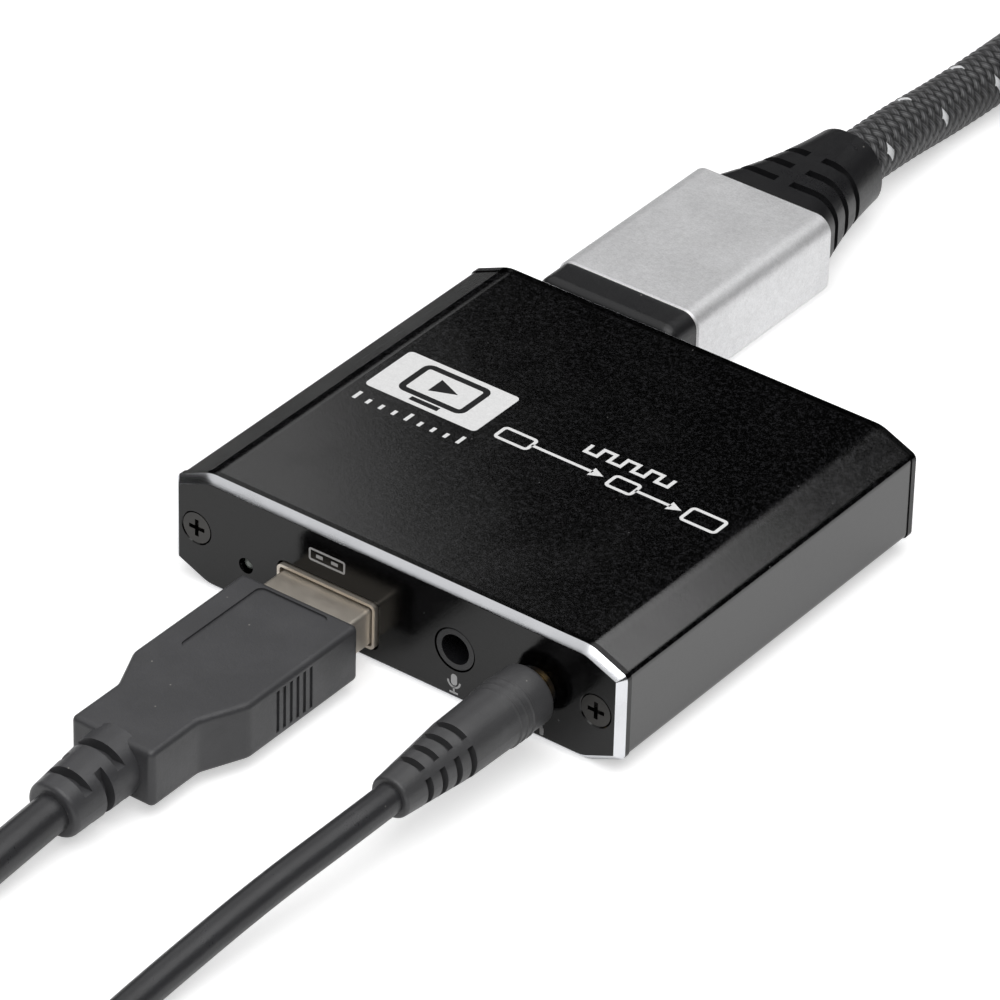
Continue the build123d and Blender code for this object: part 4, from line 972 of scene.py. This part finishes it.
@dataclass
class Lead:
    """A lead: a plug, a cord that is laid and put away in a hank, and a far plug."""

    shelf: FinishShelf
    name: str
    body: Body
    diameter: float
    route: tuple[Place, ...]
    hank: HankLay
    tail_runs: tuple[float, float, float, float]
    tail_shift: float
    tail_height: float
    length: float
    parts: dict[str, Finish]
    stiffness: str = "medium"
    tie_share: float = 0.5
    tie_width: float = 9.0
    tie_thickness: float = 0.35
    tie_foot: float = 0.15
    tie_gap: float = 0.02
    tie_steps: int = 25
    drop_share: float = 0.15
    curve_steps: int = 8
    bevel_steps: int = 6

    def plug_nodes(self, end: str) -> dict[str, Finish]:
        """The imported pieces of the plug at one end, with their finishes."""
        named = {f"{self.name}_{end}_{part}": finish for part, finish in self.parts.items()}
        return {node: finish for node, finish in named.items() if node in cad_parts}

    @property
    def with_pieces(self) -> tuple[str, ...]:
        """The pieces of the far plug, which go along with the cord."""
        return tuple(self.plug_nodes("far"))

    def spline_points(self) -> np.ndarray:
        """The cord's points in millimetres: the route, the hank's turns and the tail."""
        turns, (x, y, z), heading, side = self.hank.points(self.route[-1])
        along, inwards, down, last = (heading * run for run in self.tail_runs)
        y += heading * self.diameter
        inside = side * self.tail_shift
        drop = (z - self.tail_height) * self.drop_share
        tail = [
            (x, y, z),
            (x, y + along, z),
            (x + inside * 0.5, y + along + inwards, z - drop),
            (x + inside, y + along + inwards + down, self.tail_height),
            (x + inside, y + along + inwards + down + last, self.tail_height),
        ]
        return np.array([*self.route, *turns, *tail])

    def spline(self, name: str, resolution: int) -> Piece:
        """The cord's line as a curve object, with some steps from one point to the next."""
        points = self.spline_points() * MM
        curve = bpy.data.curves.new(name, "CURVE")
        curve.dimensions = "3D"
        curve.resolution_u = curve.render_resolution_u = resolution
        spline = curve.splines.new("NURBS")
        spline.points.add(len(points) - 1)
        weighted = np.hstack([points, np.ones((len(points), 1))])
        spline.points.foreach_set("co", weighted.ravel())
        spline.order_u = 3
        spline.use_endpoint_u = True
        return stand(name, curve)

    def cord_piece(self) -> tuple[Piece, list[list[float]] | None]:
        """The cord as a round tube on its curve."""
        piece = self.spline(self.name + "_cord_whole", self.curve_steps)
        piece.data.bevel_depth = self.diameter * MM / 2
        piece.data.bevel_resolution = self.bevel_steps
        piece.data.use_fill_caps = True
        return piece, None

    def jacket(self) -> tuple[Finish, Slot]:
        """The finish and slot of the cord."""
        return JACKET_FINISH, Slot.CORD_JACKET

    def tie(self) -> None:
        """A strap over the runs that start the hank, its two ends down on the floor.

        Its section is a flat bar, carried up one side of the runs, over the top one on an
        arc, and down the other side.
        """
        x, y, _ = self.route[-1]
        y += self.hank.heading * self.hank.run * self.tie_share
        crown = self.diameter / 2 + self.hank.pitch * (self.hank.layers - 1)
        inner = self.diameter / 2 + self.tie_gap
        rows = []
        for radius in (inner, inner + self.tie_thickness):
            arc = ring((x, crown), radius, 0.0, 0.5, self.tie_steps)
            rows.append(np.vstack([[x + radius, self.tie_foot], arc, [x - radius, self.tie_foot]]))
        section = np.stack([rows[0], rows[0], rows[1], rows[1]], axis=1)
        depth = y + self.tie_width * np.array([-0.5, 0.5, 0.5, -0.5])
        across, rise = section[..., 0], section[..., 1]
        points = np.stack([across, np.broadcast_to(depth, across.shape), rise], axis=-1)
        piece = make_piece(self.name + "_tie", points * MM, tube_faces(len(rows[0]), 4))
        self.shelf.dress_piece(piece, TIE_FINISH, self.body, Slot.TIE)

    def build(self) -> None:
        """Dresses the plugs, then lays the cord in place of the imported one."""
        for end in ("plug", "far"):
            for node, finish in self.plug_nodes(end).items():
                self.shelf.dress_nodes(finish, node)
        self.tie()
        piece, path = self.cord_piece()
        finish, slot = self.jacket()
        self.shelf.dress_piece(piece, finish, self.body, slot)
        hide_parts(self.name + "_cord", self.name + "_coil", self.name + "_tail")
        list(self.with_pieces)


@dataclass
class BraidedLead(Lead):
    """A lead whose cord wears a braid that is raised where the camera sees it close."""

    yarns: int = YARNS
    pitch: float = 1.45
    relief: float = 0.22
    around: int = 64
    fine_length: float = 34.0
    fine_step: float = 0.14
    coarse_step: float = 1.3
    fade_length: float = 4.0
    line_steps: int = 24
    path_stride: int = 6

    def centreline(self) -> np.ndarray:
        """Points read from the cord's spline, in metres, in order along it."""
        curve = self.spline("braid_line", self.line_steps)
        mesh = bpy.data.meshes.new_from_object(curve)
        points = np.empty(len(mesh.vertices) * 3)
        mesh.vertices.foreach_get("co", points)
        data = curve.data
        bpy.data.objects.remove(curve)
        bpy.data.curves.remove(data)
        bpy.data.meshes.remove(mesh)
        return points.reshape(-1, 3)

    def braid_height(self, around: np.ndarray, along: np.ndarray) -> np.ndarray:
        """The weave's height, from 0 to 1, by the formula of the braid group."""
        total = self.yarns * around + along
        difference = self.yarns * around - along
        crossing = np.sin(math.pi * total) * np.sin(math.pi * difference)
        heights = [
            (1 - CROWN_FALL * np.abs(2 * (value % 1) - 1) ** CROWN_POWER) * (YARN_MEAN + lean * crossing)
            for value, lean in ((total, YARN_LEAN), (difference, -YARN_LEAN))
        ]
        return np.maximum(*heights)

    def cord_piece(self) -> tuple[Piece, list[list[float]] | None]:
        """The cord as a tube of rings round its line, each point out by the braid's height.

        A ring's point is the line's point plus the radius times (side cos t + up sin t),
        where side is level and square to the line and up is square to both.
        """
        line = self.centreline()
        gone = np.concatenate([[0.0], np.cumsum(np.linalg.norm(np.diff(line, axis=0), axis=1))])
        whole = gone[-1]
        fine = np.arange(0.0, self.fine_length, self.fine_step) * MM
        coarse_count = int((whole - fine[-1]) / (self.coarse_step * MM))
        stations = np.concatenate([fine, np.linspace(fine[-1], whole, coarse_count)[1:]])
        centre = np.stack([np.interp(stations, gone, line[:, axis]) for axis in range(3)], axis=-1)
        along = unit(np.gradient(centre, stations, axis=0))
        side = unit(np.cross(along, (0.0, 0.0, 1.0)))
        up = np.cross(side, along)
        angle = np.arange(self.around) / self.around
        turn = FULL_TURN * angle[None, :, None]
        height = self.braid_height(angle[None, :], stations[:, None] / (self.pitch * MM))
        left = self.fine_length * MM - stations
        fade = np.clip(left / (self.fade_length * MM), 0, 1)[:, None]
        radius = self.diameter / 2 - self.relief * (1 - height) * fade
        out = side[:, None, :] * np.cos(turn) + up[:, None, :] * np.sin(turn)
        points = centre[:, None, :] + radius[..., None] * MM * out
        faces = tube_faces(len(stations), self.around)
        piece = make_piece(self.name + "_cord_whole", points, faces, crease=80.0)
        self.map_tube(piece.data, stations)
        return piece, line[::self.path_stride].tolist() + [line[-1].tolist()]

    def map_tube(self, mesh: bpy.types.Mesh, stations: np.ndarray) -> None:
        """Writes the tube's map: once round for u, and pitches along the line for v.

        Each loop takes its own point's row and column, and the column that closes the
        ring counts as one past the last on the faces that it shares with the last.
        """
        layer = mesh.uv_layers.new(name="UVMap")
        points = np.empty(len(mesh.loops), dtype=np.int64)
        mesh.loops.foreach_get("vertex_index", points)
        row, column = points // self.around, (points % self.around).astype(float)
        starts, totals = np.empty((2, len(mesh.polygons)), dtype=np.int64)
        mesh.polygons.foreach_get("loop_start", starts)
        mesh.polygons.foreach_get("loop_total", totals)
        owner = np.repeat(np.arange(len(totals)), totals)
        widest = np.maximum.reduceat(column, starts)
        least = np.minimum.reduceat(column, starts)
        across = (widest - least > self.around / 2) & (totals == 4)
        column = np.where(across[owner] & (column == 0), float(self.around), column)
        values = np.stack([column / self.around, stations[row] / (self.pitch * MM)], axis=-1)
        layer.data.foreach_set("uv", values.ravel())

    def jacket(self) -> tuple[Finish, Slot]:
        """The finish and slot of the braid."""
        return BRAID_FINISH, Slot.BRAID


def usb_lead(shelf: FinishShelf) -> Lead:
    """The USB lead."""
    return Lead(
        shelf,
        name="usb",
        body=Body.USB_LEAD,
        diameter=4.4,
        route=(
            (-8.6, -71.964, 4.131), (-8.6, -79.137, 3.503), (-8.9, -88.0, 2.2),
            (-5.8, -98.5, 2.2), (-1.8, -108.7, 2.2), (-1.8, -118.0, 2.2),
        ),
        hank=HankLay(heading=-1, side=-1, radius=13.2, run=95.5, layers=2, pitch=4.9),
        tail_runs=(10.5, 11.5, 11.5, 11.0),
        tail_shift=10.6,
        tail_height=3.85,
        length=510.0,
        parts={
            "shell": SHELL_FINISH,
            "insulator": WHITE_NYLON,
            "contacts": GOLD_FINISH,
            "overmould": OVERMOULD_FINISH,
        },
    )


def audio_lead(shelf: FinishShelf) -> Lead:
    """The audio lead."""
    return Lead(
        shelf,
        name="audio",
        body=Body.AUDIO_LEAD,
        diameter=3.5,
        route=(
            (18.7, -51.6, 6.75), (18.7, -59.0, 6.75), (17.3, -70.0, 5.2), (16.1, -83.0, 2.9),
            (16.0, -95.0, 1.75), (18.3, -106.5, 1.75), (23.2, -117.5, 1.75),
            (27.4, -128.5, 1.75), (27.4, -138.0, 1.75),
        ),
        hank=HankLay(heading=-1, side=-1, radius=11.8, run=82.0, layers=3, pitch=4.0),
        tail_runs=(8.2, 9.0, 11.0, 8.2),
        tail_shift=8.0,
        tail_height=3.74,
        length=727.0,
        parts={"contacts": GOLD_FINISH, "bands": BLACK_NYLON, "barrel": BARREL_FINISH},
        stiffness="limp",
    )


def video_lead(shelf: FinishShelf) -> BraidedLead:
    """The braided video lead."""
    return BraidedLead(
        shelf,
        name="video",
        body=Body.VIDEO_LEAD,
        diameter=7.0,
        route=(
            (-16.2, 79.8, 5.15), (-16.2, 88.5, 5.15), (-16.6, 101.0, 3.5),
            (-16.2, 115.0, 3.5), (-16.2, 128.0, 3.5),
        ),
        hank=HankLay(heading=1, side=1, radius=21.0, run=121.5, layers=2, pitch=7.5),
        tail_runs=(17.0, 16.5, 16.5, 18.5),
        tail_shift=14.2,
        tail_height=5.15,
        length=690.0,
        parts={
            "shell": SHELL_FINISH,
            "insulator": BLACK_NYLON,
            "collar": BLACK_MOULDING,
            "cover": COVER_FINISH,
            "boot": BLACK_MOULDING,
        },
    )


# Studio


@dataclass(frozen=True)
class CameraStand:
    """The camera, placed by angles and a distance from what it looks at."""

    azimuth: float = 36.29
    elevation: float = 34.28
    roll: float = 1.46
    distance: float = 0.75048
    target: Place = (-0.00462, -0.00226, 0.0070)
    lens: float = 252.0
    sensor: float = 36.0
    clip: Flat = (0.01, 50.0)

    def build(self) -> None:
        """Makes the scene's camera."""
        turn, rise, roll = map(math.radians, (self.azimuth, self.elevation, self.roll))
        back = Vector(
            (math.sin(turn) * math.cos(rise), -math.cos(turn) * math.cos(rise), math.sin(rise))
        )
        level = Vector((0, 0, 1)).cross(back).normalized()
        upright = back.cross(level)
        right = level * math.cos(roll) + upright * math.sin(roll)
        top = upright * math.cos(roll) - level * math.sin(roll)
        camera = stand("camera", bpy.data.cameras.new("camera"))
        camera.data.sensor_width = self.sensor
        camera.data.lens = self.lens
        camera.data.clip_start, camera.data.clip_end = self.clip
        matrix = Matrix((right, top, back)).transposed().to_4x4()
        matrix.translation = Vector(self.target) + back * self.distance
        camera.matrix_world = matrix
        bpy.context.scene.camera = camera


@dataclass(frozen=True)
class SoftBox:
    """A flat soft lamp that faces down, given by its place, turn, sides and brightness."""

    name: str
    place: Place
    turn: float
    sides: Flat
    brightness: float

    def build(self) -> None:
        """Makes the lamp. Its power is brightness times its area times pi."""
        lamp = bpy.data.lights.new(self.name, "AREA")
        lamp.shape = "RECTANGLE"
        lamp.size, lamp.size_y = self.sides
        lamp.energy = self.brightness * self.sides[0] * self.sides[1] * math.pi
        piece = stand(self.name, lamp)
        piece.location = self.place
        piece.rotation_euler = (0.0, 0.0, math.radians(self.turn))
        piece.visible_camera = False


@dataclass
class Studio:
    """A pale floor, plain soft lamps and a dim room."""

    floor_radius: float = 6.0
    floor_height: float = -0.00002
    floor_rings: tuple[float, ...] = (0.02, 0.1, 0.4, 1.0)
    floor_corners: int = 64
    floor_colour: Colour = (0.8, 0.8, 0.8)
    floor_roughness: float = 0.9
    floor_gloss: float = 0.1
    lift_seen: Flat = (0.52, 1.0)
    lift_seen_over: Flat = (0.4, 1.2)
    lift_mirrored: Flat = (0.25, 0.0)
    lift_mirrored_over: Flat = (0.15, 0.4)
    room_seen: float = 1.0
    room_mirrored: float = 0.004
    boxes: tuple[SoftBox, ...] = (
        SoftBox("left_box", (-0.295, -0.295, 0.55), 45.0, (1.0, 2.2), 0.68),
        SoftBox("back_box", (0.14, 0.25, 0.55), 0.0, (0.64, 0.5), 1.5),
        SoftBox("front_box", (0.32, -0.42, 0.78), 0.0, (0.9, 0.9), 2.1),
    )

    def floor_material(self) -> bpy.types.Material:
        """Pale paper, lifted towards white for the camera, and near by for mirrored rays too."""
        material = bpy.data.materials.new("pale_floor")
        material.use_nodes = True
        sheet = NodeSheet(material.node_tree)
        shader = material.node_tree.nodes["Principled BSDF"]
        shader.inputs["Base Color"].default_value = (*self.floor_colour, 1.0)
        shader.inputs["Roughness"].default_value = self.floor_roughness
        shader.inputs["Specular IOR Level"].default_value = self.floor_gloss
        shader.inputs["Emission Color"].default_value = (1.0, 1.0, 1.0, 1.0)
        rays = sheet.add("LightPath").outputs
        mirrored = sheet.maths("MAXIMUM", rays["Is Glossy Ray"], rays["Is Transmission Ray"])
        place = sheet.add("TexCoord").outputs["Object"]
        away = sheet.add("VectorMath", {0: place}, operation="LENGTH").outputs["Value"]
        lifts = (
            sheet.times(rays["Is Camera Ray"], sheet.span(away, self.lift_seen_over, self.lift_seen)),
            sheet.times(mirrored, sheet.span(away, self.lift_mirrored_over, self.lift_mirrored)),
        )
        sheet.feed(shader.inputs["Emission Strength"], sheet.maths("ADD", *lifts))
        return material

    def floor(self) -> None:
        """The floor, a disc that is wide enough for any view: rings of points by radius."""
        corners, rings = self.floor_corners, len(self.floor_rings)
        angle = FULL_TURN * np.arange(corners) / corners
        radii = self.floor_radius * np.array(self.floor_rings)[:, None]
        level = np.full((rings, corners), self.floor_height)
        points = np.stack([radii * np.cos(angle), radii * np.sin(angle), level], axis=-1)
        quads = grid_quads(rings, corners, False, True)[:, ::-1]
        mesh = bpy.data.meshes.new("floor")
        mesh.from_pydata(points.reshape(-1, 3).tolist(), [], [*quads.tolist(), list(range(corners))])
        piece = stand("floor", mesh)
        mesh.materials.append(self.floor_material())

    def world(self) -> None:
        """An even room: white where the camera sees it, dim in every mirror."""
        world = bpy.data.worlds.new("room")
        bpy.context.scene.world = world
        world.use_nodes = True
        sheet = NodeSheet(world.node_tree)
        background = world.node_tree.nodes["Background"]
        background.inputs["Color"].default_value = (1.0, 1.0, 1.0, 1.0)
        seen = sheet.add("LightPath").outputs["Is Camera Ray"]
        strength = sheet.between(seen, self.room_mirrored, self.room_seen)
        sheet.feed(background.inputs["Strength"], strength)

    def build(self) -> None:
        """Sets up the floor, the room, the lamps and the camera."""
        self.floor()
        self.world()
        for box in self.boxes:
            box.build()
        CameraStand().build()
        bpy.context.scene.view_settings.view_transform = "Standard"


def main() -> None:
    """Builds the object piece by piece, then the studio."""
    logging.basicConfig(level=logging.INFO, format="%(name)s: %(message)s")
    shelf = FinishShelf()
    for part in (usb_lead(shelf), audio_lead(shelf), video_lead(shelf), CaptureBox(shelf)):
        part.build()
    Studio().build()


if __name__ == "__main__":
    main()
